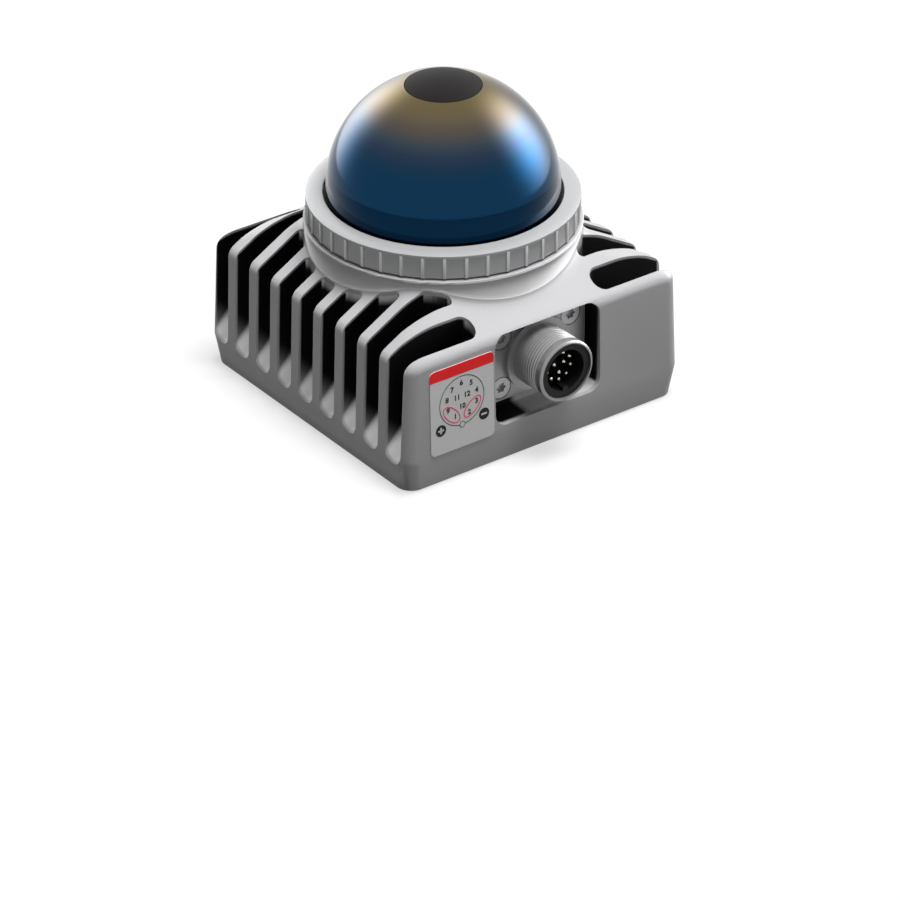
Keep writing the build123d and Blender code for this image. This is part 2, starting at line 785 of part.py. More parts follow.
with BuildPart() as main_board:
    with BuildSketch(Plane.XY.offset(main_board_z)):
        Circle(board_radius)
        with Locations((0, -board_flat - board_radius / 2)):
            Rectangle(2 * board_radius, board_radius, mode=Mode.SUBTRACT)
        with Locations(board_post_places):
            Circle(board_screw_radius + thread_gap, mode=Mode.SUBTRACT)
    extrude(amount=board_thickness)
    for part_x, part_y, part_width, part_depth, part_height in main_parts:
        with BuildSketch(Plane.XY.offset(main_board_z + board_thickness)):
            with Locations((part_x, part_y)):
                Rectangle(part_width, part_depth)
        extrude(amount=part_height)
main_board.part.label = "main_board"
export_step(main_board.part, "parts/main_board.step")

with BuildPart() as processor:
    with BuildSketch(Plane.XY.offset(power_board_z - chip_thickness)):
        Rectangle(chip_width, chip_width)
    extrude(amount=chip_thickness)
processor.part.label = "processor"
export_step(processor.part, "parts/processor.step")

with BuildPart() as heat_pad:
    with BuildSketch(Plane.XY.offset(power_board_z - chip_thickness - pad_thickness)):
        Rectangle(chip_width, chip_width)
    extrude(amount=pad_thickness)
heat_pad.part.label = "heat_pad"
export_step(heat_pad.part, "parts/heat_pad.step")

# Posts under the power board, spacers between the boards and the screws on top
with BuildPart() as board_posts:
    with BuildSketch(Plane.XY.offset(base_plate_thickness)):
        with Locations(board_post_places):
            Circle(board_post_radius)
            Circle(board_screw_radius + thread_gap, mode=Mode.SUBTRACT)
    extrude(amount=power_board_z - base_plate_thickness)
board_posts.part.label = "board_posts"
export_step(board_posts.part, "parts/board_posts.step")

with BuildPart() as board_spacers:
    with BuildSketch(Plane.XY.offset(power_board_z + board_thickness)):
        with Locations(board_post_places):
            Circle(board_post_radius)
    extrude(amount=spacer_length)
    with BuildSketch(Plane.XY.offset(power_board_z + board_thickness)):
        with Locations(board_post_places):
            Circle(board_screw_radius)
    extrude(amount=-board_stud_length)
    with BuildSketch(Plane.XY.offset(main_board_z)):
        with Locations(board_post_places):
            Circle(board_screw_radius + thread_gap)
    extrude(amount=-spacer_hole_depth, mode=Mode.SUBTRACT)
board_spacers.part.label = "board_spacers"
export_step(board_spacers.part, "parts/board_spacers.step")

with BuildPart() as board_screws:
    with BuildSketch(Plane.XY.offset(main_board_z + board_thickness)):
        with Locations(board_post_places):
            Circle(board_screw_head)
    extrude(amount=screw_head_height)
    with BuildSketch(Plane.XY.offset(main_board_z + board_thickness)):
        with Locations(board_post_places):
            Circle(board_screw_radius)
    extrude(amount=-board_screw_length)
board_screws.part.label = "board_screws"
export_step(board_screws.part, "parts/board_screws.step")

# Plate on the ledge of the body, with the bearing tube in its middle
with BuildPart() as motor_mount:
    with BuildSketch(Plane.XY.offset(mount_ledge_height)):
        Circle(upper_bore_radius - fit_gap)
        with PolarLocations(mount_lug_circle, 3, start_angle=90):
            Circle(mount_screw_shank + thread_gap, mode=Mode.SUBTRACT)
    extrude(amount=mount_plate_thickness)
    with BuildSketch(Plane.XY.offset(mount_ledge_height)):
        Circle(tube_radius)
    extrude(amount=tube_top - mount_ledge_height)
    with BuildSketch(Plane.XY.offset(mount_plate_top)):
        Circle(tube_radius + tube_step)
    extrude(amount=stator_foot - mount_plate_top)
    with BuildSketch(Plane.XY.offset(mount_ledge_height)):
        Circle(bearing_radius - bearing_shoulder)
    extrude(amount=tube_top - mount_ledge_height, mode=Mode.SUBTRACT)
    with BuildSketch(Plane.XY.offset(mount_ledge_height)):
        Circle(bearing_radius + thread_gap)
    lower_seat = bearing_seat_foot + bearing_height
    extrude(amount=lower_seat - mount_ledge_height, mode=Mode.SUBTRACT)
    with BuildSketch(Plane.XY.offset(tube_top)):
        Circle(bearing_radius + thread_gap)
    upper_seat = bearing_seat_top - bearing_height
    extrude(amount=upper_seat - tube_top, mode=Mode.SUBTRACT)
motor_mount.part.label = "motor_mount"
export_step(motor_mount.part, "parts/motor_mount.step")

with BuildPart() as motor_mount_screws:
    with BuildSketch(Plane.XY.offset(mount_plate_top)):
        with PolarLocations(mount_lug_circle, 3, start_angle=90):
            Circle(mount_screw_head)
    extrude(amount=screw_head_height)
    with BuildSketch(Plane.XY.offset(mount_plate_top)):
        with PolarLocations(mount_lug_circle, 3, start_angle=90):
            Circle(mount_screw_shank)
    extrude(amount=-mount_plate_thickness - mount_screw_grip)
motor_mount_screws.part.label = "motor_mount_screws"
export_step(motor_mount_screws.part, "parts/motor_mount_screws.step")

# Two ball bearings, each with a shallow step for its shields
with BuildPart() as bearing:
    with BuildSketch(Plane.XZ):
        with BuildLine():
            Polyline(
                (shaft_radius + running_gap, 0),
                (shaft_radius + bearing_race, 0),
                (shaft_radius + bearing_race, bearing_dish),
                (bearing_radius - bearing_race, bearing_dish),
                (bearing_radius - bearing_race, 0),
                (bearing_radius, 0),
                (bearing_radius, bearing_height),
                (bearing_radius - bearing_race, bearing_height),
                (bearing_radius - bearing_race, bearing_height - bearing_dish),
                (shaft_radius + bearing_race, bearing_height - bearing_dish),
                (shaft_radius + bearing_race, bearing_height),
                (shaft_radius + running_gap, bearing_height),
                close=True,
            )
        make_face()
    revolve(axis=Axis.Z)
with BuildPart() as lower_bearing:
    with Locations((0, 0, bearing_seat_foot)):
        add(bearing.part)
lower_bearing.part.label = "lower_bearing"
export_step(lower_bearing.part, "parts/lower_bearing.step")
with BuildPart() as upper_bearing:
    with Locations((0, 0, bearing_seat_top - bearing_height)):
        add(bearing.part)
upper_bearing.part.label = "upper_bearing"
export_step(upper_bearing.part, "parts/upper_bearing.step")

# Toothed stator and its coils
with BuildPart() as stator_core:
    with BuildSketch(Plane.XY.offset(stator_foot)):
        with PolarLocations(0, stator_teeth):
            with Locations((stator_radius / 2, 0)):
                Rectangle(stator_radius, tooth_width)
            with Locations((stator_radius - tooth_tip_thickness / 2, 0)):
                Rectangle(tooth_tip_thickness, tooth_tip_width)
        Circle(yoke_radius)
        Circle(stator_radius, mode=Mode.INTERSECT)
        Circle(tube_radius + thread_gap, mode=Mode.SUBTRACT)
    extrude(amount=stator_height)
stator_core.part.label = "stator_core"
export_step(stator_core.part, "parts/stator_core.step")

coil_middle = (yoke_radius + stator_radius - tooth_tip_thickness) / 2
with BuildPart() as stator_coil:
    with BuildSketch(Plane.YZ.offset(coil_middle - coil_length / 2)):
        with Locations((0, stator_foot + stator_height / 2)):
            RectangleRounded(coil_width, coil_height, coil_bend)
            Rectangle(
                tooth_width + 2 * thread_gap,
                stator_height + 2 * thread_gap,
                mode=Mode.SUBTRACT,
            )
    extrude(amount=coil_length)
with BuildPart() as stator_coils:
    with PolarLocations(0, stator_teeth):
        add(stator_coil.part)
stator_coils.part.label = "stator_coils"
export_step(stator_coils.part, "parts/stator_coils.step")

# Flat coils that feed the turning head without contact
with BuildPart() as fixed_power_coil:
    with BuildSketch(Plane.XY.offset(mount_plate_top)):
        Circle(power_coil_outer)
        Circle(power_coil_inner, mode=Mode.SUBTRACT)
    extrude(amount=power_coil_thickness)
fixed_power_coil.part.label = "fixed_power_coil"
export_step(fixed_power_coil.part, "parts/fixed_power_coil.step")

with BuildPart() as moving_power_coil:
    with BuildSketch(Plane.XY.offset(bell_flange_z)):
        Circle(power_coil_outer)
        Circle(power_coil_inner, mode=Mode.SUBTRACT)
    extrude(amount=-power_coil_thickness)
moving_power_coil.part.label = "moving_power_coil"
export_step(moving_power_coil.part, "parts/moving_power_coil.step")

# Encoder: a disc on the rotor's flange and a fixed reader over its edge
encoder_disc_z = bell_flange_z + bell_flange_thickness
with BuildPart() as encoder_disc:
    with BuildSketch(Plane.XY.offset(encoder_disc_z)):
        Circle(bell_flange_radius)
        Circle(bell_radius + fit_gap, mode=Mode.SUBTRACT)
    extrude(amount=encoder_disc_thickness)
encoder_disc.part.label = "encoder_disc"
export_step(encoder_disc.part, "parts/encoder_disc.step")

encoder_nose_z = encoder_disc_z + encoder_disc_thickness + encoder_gap
with BuildPart() as encoder_sensor:
    with BuildSketch(Plane.XY.offset(mount_plate_top)):
        with Locations(((encoder_post_inner + encoder_post_outer) / 2, 0)):
            Rectangle(encoder_post_outer - encoder_post_inner, encoder_width)
    extrude(amount=encoder_nose_z + encoder_nose_thickness - mount_plate_top)
    with BuildSketch(Plane.XY.offset(encoder_nose_z)):
        with Locations(((encoder_nose_reach + encoder_post_outer) / 2, 0)):
            Rectangle(encoder_post_outer - encoder_nose_reach, encoder_width)
    extrude(amount=encoder_nose_thickness)
encoder_sensor.part.label = "encoder_sensor"
export_step(encoder_sensor.part, "parts/encoder_sensor.step")

# Shaft of the head, with a collar that keeps it in its bearings
with BuildPart() as head_shaft:
    with BuildSketch(Plane.XY.offset(shaft_foot)):
        Circle(shaft_radius)
    extrude(amount=shaft_top - shaft_foot)
    with BuildSketch(Plane.XY.offset(shaft_foot)):
        Circle(shaft_radius + shaft_collar)
    extrude(amount=bearing_seat_foot - shaft_collar_gap - shaft_foot)
head_shaft.part.label = "head_shaft"
export_step(head_shaft.part, "parts/head_shaft.step")

# Bell over the stator, with the flange that carries the coil and the encoder disc
head_screw_places = PolarLocations(head_screw_circle, 4, start_angle=45)
with BuildPart() as rotor_bell:
    with BuildSketch(Plane.XY.offset(bell_foot)):
        Circle(bell_radius)
    extrude(amount=bell_top - bell_foot)
    with BuildSketch(Plane.XY.offset(bell_flange_z)):
        Circle(bell_flange_radius)
    extrude(amount=bell_flange_thickness)
    with BuildSketch(Plane.XY.offset(bell_foot)):
        Circle(magnet_radius)
    extrude(amount=bell_roof - bell_foot, mode=Mode.SUBTRACT)
    with BuildSketch(Plane.XY.offset(bell_roof)):
        Circle(shaft_radius + thread_gap)
        with head_screw_places:
            Circle(head_screw_shank + thread_gap)
    extrude(amount=bell_roof_thickness, mode=Mode.SUBTRACT)
rotor_bell.part.label = "rotor_bell"
export_step(rotor_bell.part, "parts/rotor_bell.step")

with BuildPart() as magnet_ring:
    with BuildSketch(Plane.XY.offset(stator_foot)):
        Circle(magnet_radius - thread_gap)
        Circle(magnet_inner_radius, mode=Mode.SUBTRACT)
    extrude(amount=stator_height)
magnet_ring.part.label = "magnet_ring"
export_step(magnet_ring.part, "parts/magnet_ring.step")

# Frame of the optical head: a disc and two cheeks that hold the mirror's shaft
with BuildPart() as head_frame:
    with BuildSketch(Plane.XY.offset(bell_top)):
        Circle(head_disc_radius)
        Circle(shaft_radius + thread_gap, mode=Mode.SUBTRACT)
        with head_screw_places:
            Circle(head_screw_shank + thread_gap, mode=Mode.SUBTRACT)
    extrude(amount=head_disc_thickness)
    with BuildSketch(Plane.YZ.offset(cheek_offset)):
        with BuildLine():
            Polyline(
                (-cheek_foot_width / 2, head_disc_top),
                (cheek_foot_width / 2, head_disc_top),
                (cheek_top_radius, mirror_axis_z),
                (-cheek_top_radius, mirror_axis_z),
                close=True,
            )
        make_face()
        with Locations((0, mirror_axis_z)):
            Circle(cheek_top_radius)
            Circle(mirror_bearing_radius + thread_gap, mode=Mode.SUBTRACT)
    extrude(amount=cheek_thickness)
    mirror(about=Plane.YZ)
head_frame.part.label = "head_frame"
export_step(head_frame.part, "parts/head_frame.step")

with BuildPart() as head_screws:
    with BuildSketch(Plane.XY.offset(head_disc_top)):
        with head_screw_places:
            Circle(head_screw_head)
    extrude(amount=head_screw_height)
    with BuildSketch(Plane.XY.offset(head_disc_top)):
        with head_screw_places:
            Circle(head_screw_shank)
    extrude(amount=-head_disc_thickness - head_screw_grip)
head_screws.part.label = "head_screws"
export_step(head_screws.part, "parts/head_screws.step")

# Four-sided mirror on its level shaft
with BuildPart() as scan_mirror:
    with BuildSketch(Plane.YZ.offset(-mirror_length / 2)):
        with Locations((0, mirror_axis_z)):
            RectangleRounded(mirror_width, mirror_width, mirror_edge)
            Circle(mirror_shaft_radius + thread_gap, mode=Mode.SUBTRACT)
    extrude(amount=mirror_length)
scan_mirror.part.label = "scan_mirror"
export_step(scan_mirror.part, "parts/scan_mirror.step")

cheek_outside = cheek_offset + cheek_thickness
mirror_stator_end = cheek_outside + mirror_stator_length
mirror_rotor_foot = mirror_stator_end + mirror_gap
mirror_rotor_end = cheek_outside + mirror_motor_length
with BuildPart() as mirror_shaft:
    with BuildSketch(Plane.YZ.offset(-cheek_outside - mirror_shaft_radius)):
        with Locations((0, mirror_axis_z)):
            Circle(mirror_shaft_radius)
    extrude(amount=cheek_outside + mirror_shaft_radius + mirror_rotor_end)
mirror_shaft.part.label = "mirror_shaft"
export_step(mirror_shaft.part, "parts/mirror_shaft.step")

with BuildPart() as mirror_bearings:
    for bearing_x in (-cheek_outside, cheek_offset):
        with BuildSketch(Plane.YZ.offset(bearing_x)):
            with Locations((0, mirror_axis_z)):
                Circle(mirror_bearing_radius)
                Circle(mirror_shaft_radius + running_gap, mode=Mode.SUBTRACT)
        extrude(amount=cheek_thickness)
mirror_bearings.part.label = "mirror_bearings"
export_step(mirror_bearings.part, "parts/mirror_bearings.step")

with BuildPart() as mirror_motor_stator:
    with BuildSketch(Plane.YZ.offset(cheek_outside)):
        with Locations((0, mirror_axis_z)):
            Circle(mirror_motor_radius)
            Circle(mirror_shaft_radius + mirror_gap, mode=Mode.SUBTRACT)
    extrude(amount=mirror_stator_end - cheek_outside)
mirror_motor_stator.part.label = "mirror_motor_stator"
export_step(mirror_motor_stator.part, "parts/mirror_motor_stator.step")

with BuildPart() as mirror_motor_rotor:
    with BuildSketch(Plane.YZ.offset(mirror_rotor_foot)):
        with Locations((0, mirror_axis_z)):
            Circle(mirror_motor_radius - fit_gap)
            Circle(mirror_shaft_radius + thread_gap, mode=Mode.SUBTRACT)
    extrude(amount=mirror_rotor_end - mirror_rotor_foot)
mirror_motor_rotor.part.label = "mirror_motor_rotor"
export_step(mirror_motor_rotor.part, "parts/mirror_motor_rotor.step")

# Laser and receiver tubes with their lenses, on an upright board
optics_plane = Plane(origin=(0, optics_y, optics_z), x_dir=(-1, 0, 0), z_dir=(0, 1, 0))
with BuildPart() as laser_barrel:
    with BuildSketch(optics_plane):
        with Locations((-laser_x, 0)):
            Circle(laser_radius)
            Circle(laser_radius - barrel_wall, mode=Mode.SUBTRACT)
    extrude(amount=optics_length)
laser_barrel.part.label = "laser_barrel"
export_step(laser_barrel.part, "parts/laser_barrel.step")

with BuildPart() as laser_lens:
    with BuildSketch(optics_plane.offset(barrel_wall)):
        with Locations((-laser_x, 0)):
            Circle(laser_radius - barrel_wall - thread_gap)
    extrude(amount=lens_thickness)
laser_lens.part.label = "laser_lens"
export_step(laser_lens.part, "parts/laser_lens.step")

with BuildPart() as receiver_barrel:
    with BuildSketch(optics_plane):
        with Locations((-receiver_x, 0)):
            Circle(receiver_radius)
            Circle(receiver_radius - barrel_wall, mode=Mode.SUBTRACT)
    extrude(amount=optics_length)
receiver_barrel.part.label = "receiver_barrel"
export_step(receiver_barrel.part, "parts/receiver_barrel.step")

with BuildPart() as receiver_lens:
    with BuildSketch(optics_plane.offset(barrel_wall)):
        with Locations((-receiver_x, 0)):
            Circle(receiver_radius - barrel_wall - thread_gap)
    extrude(amount=lens_thickness)
receiver_lens.part.label = "receiver_lens"
export_step(receiver_lens.part, "parts/receiver_lens.step")

with BuildPart() as optics_board:
    with BuildSketch(Plane.XY.offset(head_disc_top)):
        with Locations((0, optics_y + optics_length + optics_board_thickness / 2)):
            Rectangle(optics_board_width, optics_board_thickness)
    extrude(amount=optics_board_height)
optics_board.part.label = "optics_board"
export_step(optics_board.part, "parts/optics_board.step")

# Weight that balances the optics on the other side of the disc
with BuildPart() as counterweight:
    with BuildSketch(Plane.XY.offset(head_disc_top)):
        with BuildLine():
            weight_start = -90 - weight_span / 2
            outer_arc = CenterArc((0, 0), weight_outer_radius, weight_start, weight_span)
            inner_arc = CenterArc((0, 0), weight_inner_radius, weight_start, weight_span)
            Line(outer_arc @ 0, inner_arc @ 0)
            Line(outer_arc @ 1, inner_arc @ 1)
        make_face()
    extrude(amount=weight_height)
counterweight.part.label = "counterweight"
export_step(counterweight.part, "parts/counterweight.step")
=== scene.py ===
import json
import math

import bpy
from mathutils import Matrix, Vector

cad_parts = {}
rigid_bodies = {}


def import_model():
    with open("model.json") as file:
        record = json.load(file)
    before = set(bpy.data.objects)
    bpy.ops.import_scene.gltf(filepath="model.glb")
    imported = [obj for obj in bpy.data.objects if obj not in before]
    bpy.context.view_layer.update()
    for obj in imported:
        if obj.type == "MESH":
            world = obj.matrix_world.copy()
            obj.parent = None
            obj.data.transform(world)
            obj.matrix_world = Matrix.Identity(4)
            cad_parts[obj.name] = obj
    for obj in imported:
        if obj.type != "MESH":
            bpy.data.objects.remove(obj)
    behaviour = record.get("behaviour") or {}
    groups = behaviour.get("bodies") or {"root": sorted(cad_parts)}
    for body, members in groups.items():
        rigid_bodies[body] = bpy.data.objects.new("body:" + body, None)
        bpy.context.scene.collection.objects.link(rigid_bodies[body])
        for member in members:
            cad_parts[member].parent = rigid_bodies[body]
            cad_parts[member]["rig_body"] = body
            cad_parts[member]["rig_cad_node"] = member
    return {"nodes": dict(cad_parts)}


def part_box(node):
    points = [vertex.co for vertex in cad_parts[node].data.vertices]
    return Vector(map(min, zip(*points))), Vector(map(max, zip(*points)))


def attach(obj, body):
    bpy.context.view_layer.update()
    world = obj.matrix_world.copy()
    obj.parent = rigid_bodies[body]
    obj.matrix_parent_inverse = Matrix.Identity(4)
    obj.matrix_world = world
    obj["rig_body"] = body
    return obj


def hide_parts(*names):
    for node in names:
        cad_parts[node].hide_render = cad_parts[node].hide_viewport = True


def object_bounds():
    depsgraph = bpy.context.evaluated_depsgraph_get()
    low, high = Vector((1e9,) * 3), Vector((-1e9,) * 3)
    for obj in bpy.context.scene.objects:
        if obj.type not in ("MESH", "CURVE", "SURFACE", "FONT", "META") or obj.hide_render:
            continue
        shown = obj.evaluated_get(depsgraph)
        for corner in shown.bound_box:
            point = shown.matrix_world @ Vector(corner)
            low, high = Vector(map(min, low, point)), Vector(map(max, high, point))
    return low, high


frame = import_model()
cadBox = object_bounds()
mm = 0.001
bumpDepth = 0.02 * mm


# Small helpers for working by hand
def unselectAll():
    if bpy.context.object and bpy.context.object.mode != "OBJECT":
        bpy.ops.object.mode_set(mode="OBJECT")
    bpy.ops.object.select_all(action="DESELECT")


def pick(piece):
    unselectAll()
    piece.select_set(True)
    bpy.context.view_layer.objects.active = piece


def useModifier(piece, kind, **settings):
    pick(piece)
    modifier = piece.modifiers.new(kind.lower(), kind)
    for key, value in settings.items():
        setattr(modifier, key, value)
    bpy.ops.object.modifier_apply(modifier=modifier.name)


def smoothByAngle(piece, degrees):
    pick(piece)
    bpy.ops.object.shade_smooth_by_angle(angle=math.radians(degrees))


def settle(piece):
    pick(piece)
    bpy.ops.object.transform_apply(location=True, rotation=True, scale=True)


def closeUp(piece, gap=0.001):
    pick(piece)
    bpy.ops.object.mode_set(mode="EDIT")
    bpy.ops.mesh.select_all(action="SELECT")
    bpy.ops.mesh.remove_doubles(threshold=gap * mm)
    bpy.ops.mesh.normals_make_consistent(inside=False)
    bpy.ops.object.mode_set(mode="OBJECT")


def tracedOutline(name, points):  # a chain of edges through the points, in millimetres
    unselectAll()
    bpy.ops.mesh.primitive_plane_add(size=mm, location=(0, 0, 0))
    piece = bpy.context.object
    piece.name = name
    bpy.ops.object.mode_set(mode="EDIT")
    bpy.ops.mesh.select_all(action="SELECT")
    bpy.ops.mesh.merge(type="CENTER")
    bpy.ops.transform.translate(value=Vector(points[0]) * mm)
    for start, end in zip(points, points[1:]):
        step = (Vector(end) - Vector(start)) * mm
        bpy.ops.mesh.extrude_vertices_move(TRANSFORM_OT_translate={"value": step})
    return piece


def spunPiece(name, points, axis, center, steps):  # the outline turned once round an axis
    piece = tracedOutline(name, points)
    bpy.ops.mesh.select_all(action="SELECT")
    bpy.ops.mesh.spin(steps=steps, angle=2 * math.pi, center=Vector(center) * mm, axis=axis)
    bpy.ops.object.mode_set(mode="OBJECT")
    closeUp(piece)
    return piece


def joined(name, pieces):
    unselectAll()
    for piece in pieces:
        piece.select_set(True)
    bpy.context.view_layer.objects.active = pieces[0]
    if len(pieces) > 1:
        bpy.ops.object.join()
    pieces[0].name = name
    return pieces[0]


def arcPoints(radius, centerZ, first, last, count):  # points of an arc in the XZ plane
    turns = [math.radians(first + (last - first) * i / count) for i in range(count + 1)]
    return [(radius * math.cos(t), 0, centerZ + radius * math.sin(t)) for t in turns]


def copyOfNode(nodeName, pieceName):  # a free copy of a CAD piece, its loose triangles merged
    piece = frame["nodes"][nodeName].copy()
    piece.data = piece.data.copy()
    piece.name = pieceName
    piece.data.name = pieceName
    bpy.context.collection.objects.link(piece)
    piece.parent = None
    del piece["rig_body"], piece["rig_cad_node"]
    pick(piece)
    bpy.ops.object.mode_set(mode="EDIT")
    bpy.ops.mesh.select_all(action="SELECT")
    bpy.ops.mesh.customdata_custom_splitnormals_clear()
    bpy.ops.mesh.remove_doubles(threshold=0.002 * mm)
    bpy.ops.mesh.dissolve_limited(angle_limit=math.radians(0.6))
    bpy.ops.object.mode_set(mode="OBJECT")
    return piece


def softCopy(nodeName, pieceName, edge, sharp=32, steps=2):  # a copy with its edges broken
    piece = copyOfNode(nodeName, pieceName)
    useModifier(
        piece, "BEVEL", width=edge * mm, segments=steps, limit_method="ANGLE",
        angle_limit=math.radians(sharp), miter_outer="MITER_ARC", use_clamp_overlap=True,
    )
    smoothByAngle(piece, 40)
    useModifier(piece, "WEIGHTED_NORMAL", keep_sharp=True, weight=60)
    return piece


def seat(piece, nodeName, body, material=None):
    if material:
        piece.data.materials.clear()
        piece.data.materials.append(material)
    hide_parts(nodeName)
    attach(piece, body)


# Effects that several finishes share
def newGroup(name, inputs, outputs):
    group = bpy.data.node_groups.new(name, "ShaderNodeTree")
    for label, kind, value in inputs:
        socket = group.interface.new_socket(label, in_out="INPUT", socket_type=kind)
        socket.default_value = value
    for label, kind in outputs:
        group.interface.new_socket(label, in_out="OUTPUT", socket_type=kind)
    return group, group.nodes.new("NodeGroupInput"), group.nodes.new("NodeGroupOutput")


def fineGrainGroup():  # blasted or moulded skin
    group, given, made = newGroup(
        "fineGrain",
        [("Scale", "NodeSocketFloat", 6000.0), ("Blotch", "NodeSocketFloat", 0.3)],
        [("Height", "NodeSocketFloat"), ("Tone", "NodeSocketFloat")],
    )
    nodes, link = group.nodes, group.links.new
    place = nodes.new("ShaderNodeTexCoord")
    fine = nodes.new("ShaderNodeTexNoise")
    fine.inputs["Detail"].default_value = 3.0
    broad = nodes.new("ShaderNodeTexNoise")
    broad.inputs["Scale"].default_value = 90.0
    broad.inputs["Detail"].default_value = 4.0
    blend = nodes.new("ShaderNodeMix")
    link(place.outputs["Object"], fine.inputs["Vector"])
    link(place.outputs["Object"], broad.inputs["Vector"])
    link(given.outputs["Scale"], fine.inputs["Scale"])
    link(given.outputs["Blotch"], blend.inputs["Factor"])
    link(fine.outputs["Fac"], blend.inputs["A"])
    link(broad.outputs["Fac"], blend.inputs["B"])
    link(fine.outputs["Fac"], made.inputs["Height"])
    link(blend.outputs["Result"], made.inputs["Tone"])
    return group


def turnedLinesGroup():  # fine lines round an axis along Z, as a lathe leaves
    group, given, made = newGroup(
        "turnedLines",
        [("Scale", "NodeSocketFloat", 9000.0), ("Along", "NodeSocketVector", (1, 1, 0))],
        [("Height", "NodeSocketFloat"), ("Tone", "NodeSocketFloat")],
    )
    nodes, link = group.nodes, group.links.new
    place = nodes.new("ShaderNodeTexCoord")
    flat = nodes.new("ShaderNodeVectorMath")
    flat.operation = "MULTIPLY"
    reach = nodes.new("ShaderNodeVectorMath")
    reach.operation = "LENGTH"
    lines = nodes.new("ShaderNodeTexNoise")
    lines.noise_dimensions = "1D"
    lines.inputs["Detail"].default_value = 2.0
    cloud = nodes.new("ShaderNodeTexNoise")
    cloud.inputs["Scale"].default_value = 400.0
    blend = nodes.new("ShaderNodeMix")
    blend.inputs["Factor"].default_value = 0.4
    link(place.outputs["Object"], flat.inputs[0])
    link(given.outputs["Along"], flat.inputs[1])
    link(flat.outputs["Vector"], reach.inputs[0])
    link(reach.outputs["Value"], lines.inputs["W"])
    link(given.outputs["Scale"], lines.inputs["Scale"])
    link(place.outputs["Object"], cloud.inputs["Vector"])
    link(lines.outputs["Fac"], blend.inputs["A"])
    link(cloud.outputs["Fac"], blend.inputs["B"])
    link(lines.outputs["Fac"], made.inputs["Height"])
    link(blend.outputs["Result"], made.inputs["Tone"])
    return group


def tonedColourGroup():  # a colour that drifts a little lighter and darker
    group, given, made = newGroup(
        "tonedColour",
        [
            ("Colour", "NodeSocketColor", (0.5, 0.5, 0.5, 1)),
            ("Tone", "NodeSocketFloat", 0.5),
            ("Amount", "NodeSocketFloat", 0.1),
        ],
        [("Colour", "NodeSocketColor")],
    )
    nodes, link = group.nodes, group.links.new
    centred = nodes.new("ShaderNodeMath")
    centred.operation = "SUBTRACT"
    centred.inputs[1].default_value = 0.5
    swing = nodes.new("ShaderNodeMath")
    swing.operation = "MULTIPLY_ADD"
    swing.inputs[2].default_value = 1.0
    scaled = nodes.new("ShaderNodeHueSaturation")
    link(given.outputs["Tone"], centred.inputs[0])
    link(centred.outputs[0], swing.inputs[0])
    link(given.outputs["Amount"], swing.inputs[1])
    link(swing.outputs[0], scaled.inputs["Value"])
    link(given.outputs["Colour"], scaled.inputs["Color"])
    link(scaled.outputs["Color"], made.inputs["Colour"])
    return group


fineGrain = fineGrainGroup()
turnedLines = turnedLinesGroup()
tonedColour = tonedColourGroup()


def blankFinish(name, roughness, metallic, shine=0.5):
    material = bpy.data.materials.new(name)
    material.use_nodes = True
    surface = material.node_tree.nodes["Principled BSDF"]
    surface.inputs["Roughness"].default_value = roughness
    surface.inputs["Metallic"].default_value = metallic
    surface.inputs["Specular IOR Level"].default_value = shine
    return material, surface


def addGroup(material, group, **values):
    node = material.node_tree.nodes.new("ShaderNodeGroup")
    node.node_tree = group
    for label, value in values.items():
        node.inputs[label].default_value = value
    return node


def makeFinish(name, wish):
    material, surface = blankFinish(name, wish["roughness"], wish["metallic"], wish["shine"])
    nodes, link = material.node_tree.nodes, material.node_tree.links.new
    skin = addGroup(material, turnedLines if wish["turned"] else fineGrain, Scale=wish["grain"])
    colour = addGroup(material, tonedColour, Colour=(*wish["colour"], 1), Amount=wish["drift"])
    gloss = nodes.new("ShaderNodeMapRange")
    gloss.inputs["To Min"].default_value = wish["roughness"] - wish["glossDrift"]
    gloss.inputs["To Max"].default_value = wish["roughness"] + wish["glossDrift"]
    bump = nodes.new("ShaderNodeBump")
    bump.inputs["Strength"].default_value = wish["bump"]
    bump.inputs["Distance"].default_value = bumpDepth
    link(skin.outputs["Tone"], colour.inputs["Tone"])
    link(skin.outputs["Tone"], gloss.inputs["Value"])
    link(skin.outputs["Height"], bump.inputs["Height"])
    link(colour.outputs["Colour"], surface.inputs["Base Color"])
    link(gloss.outputs["Result"], surface.inputs["Roughness"])
    link(bump.outputs["Normal"], surface.inputs["Normal"])
    return material


def look(
    colour, roughness, metallic, grain=6000.0, drift=0.12, bump=0.25, glossDrift=0.05, turned=False, shine=0.5
):
    return {
        "colour": colour, "roughness": roughness, "metallic": metallic, "grain": grain,
        "drift": drift, "bump": bump, "glossDrift": glossDrift, "turned": turned, "shine": shine,
    }


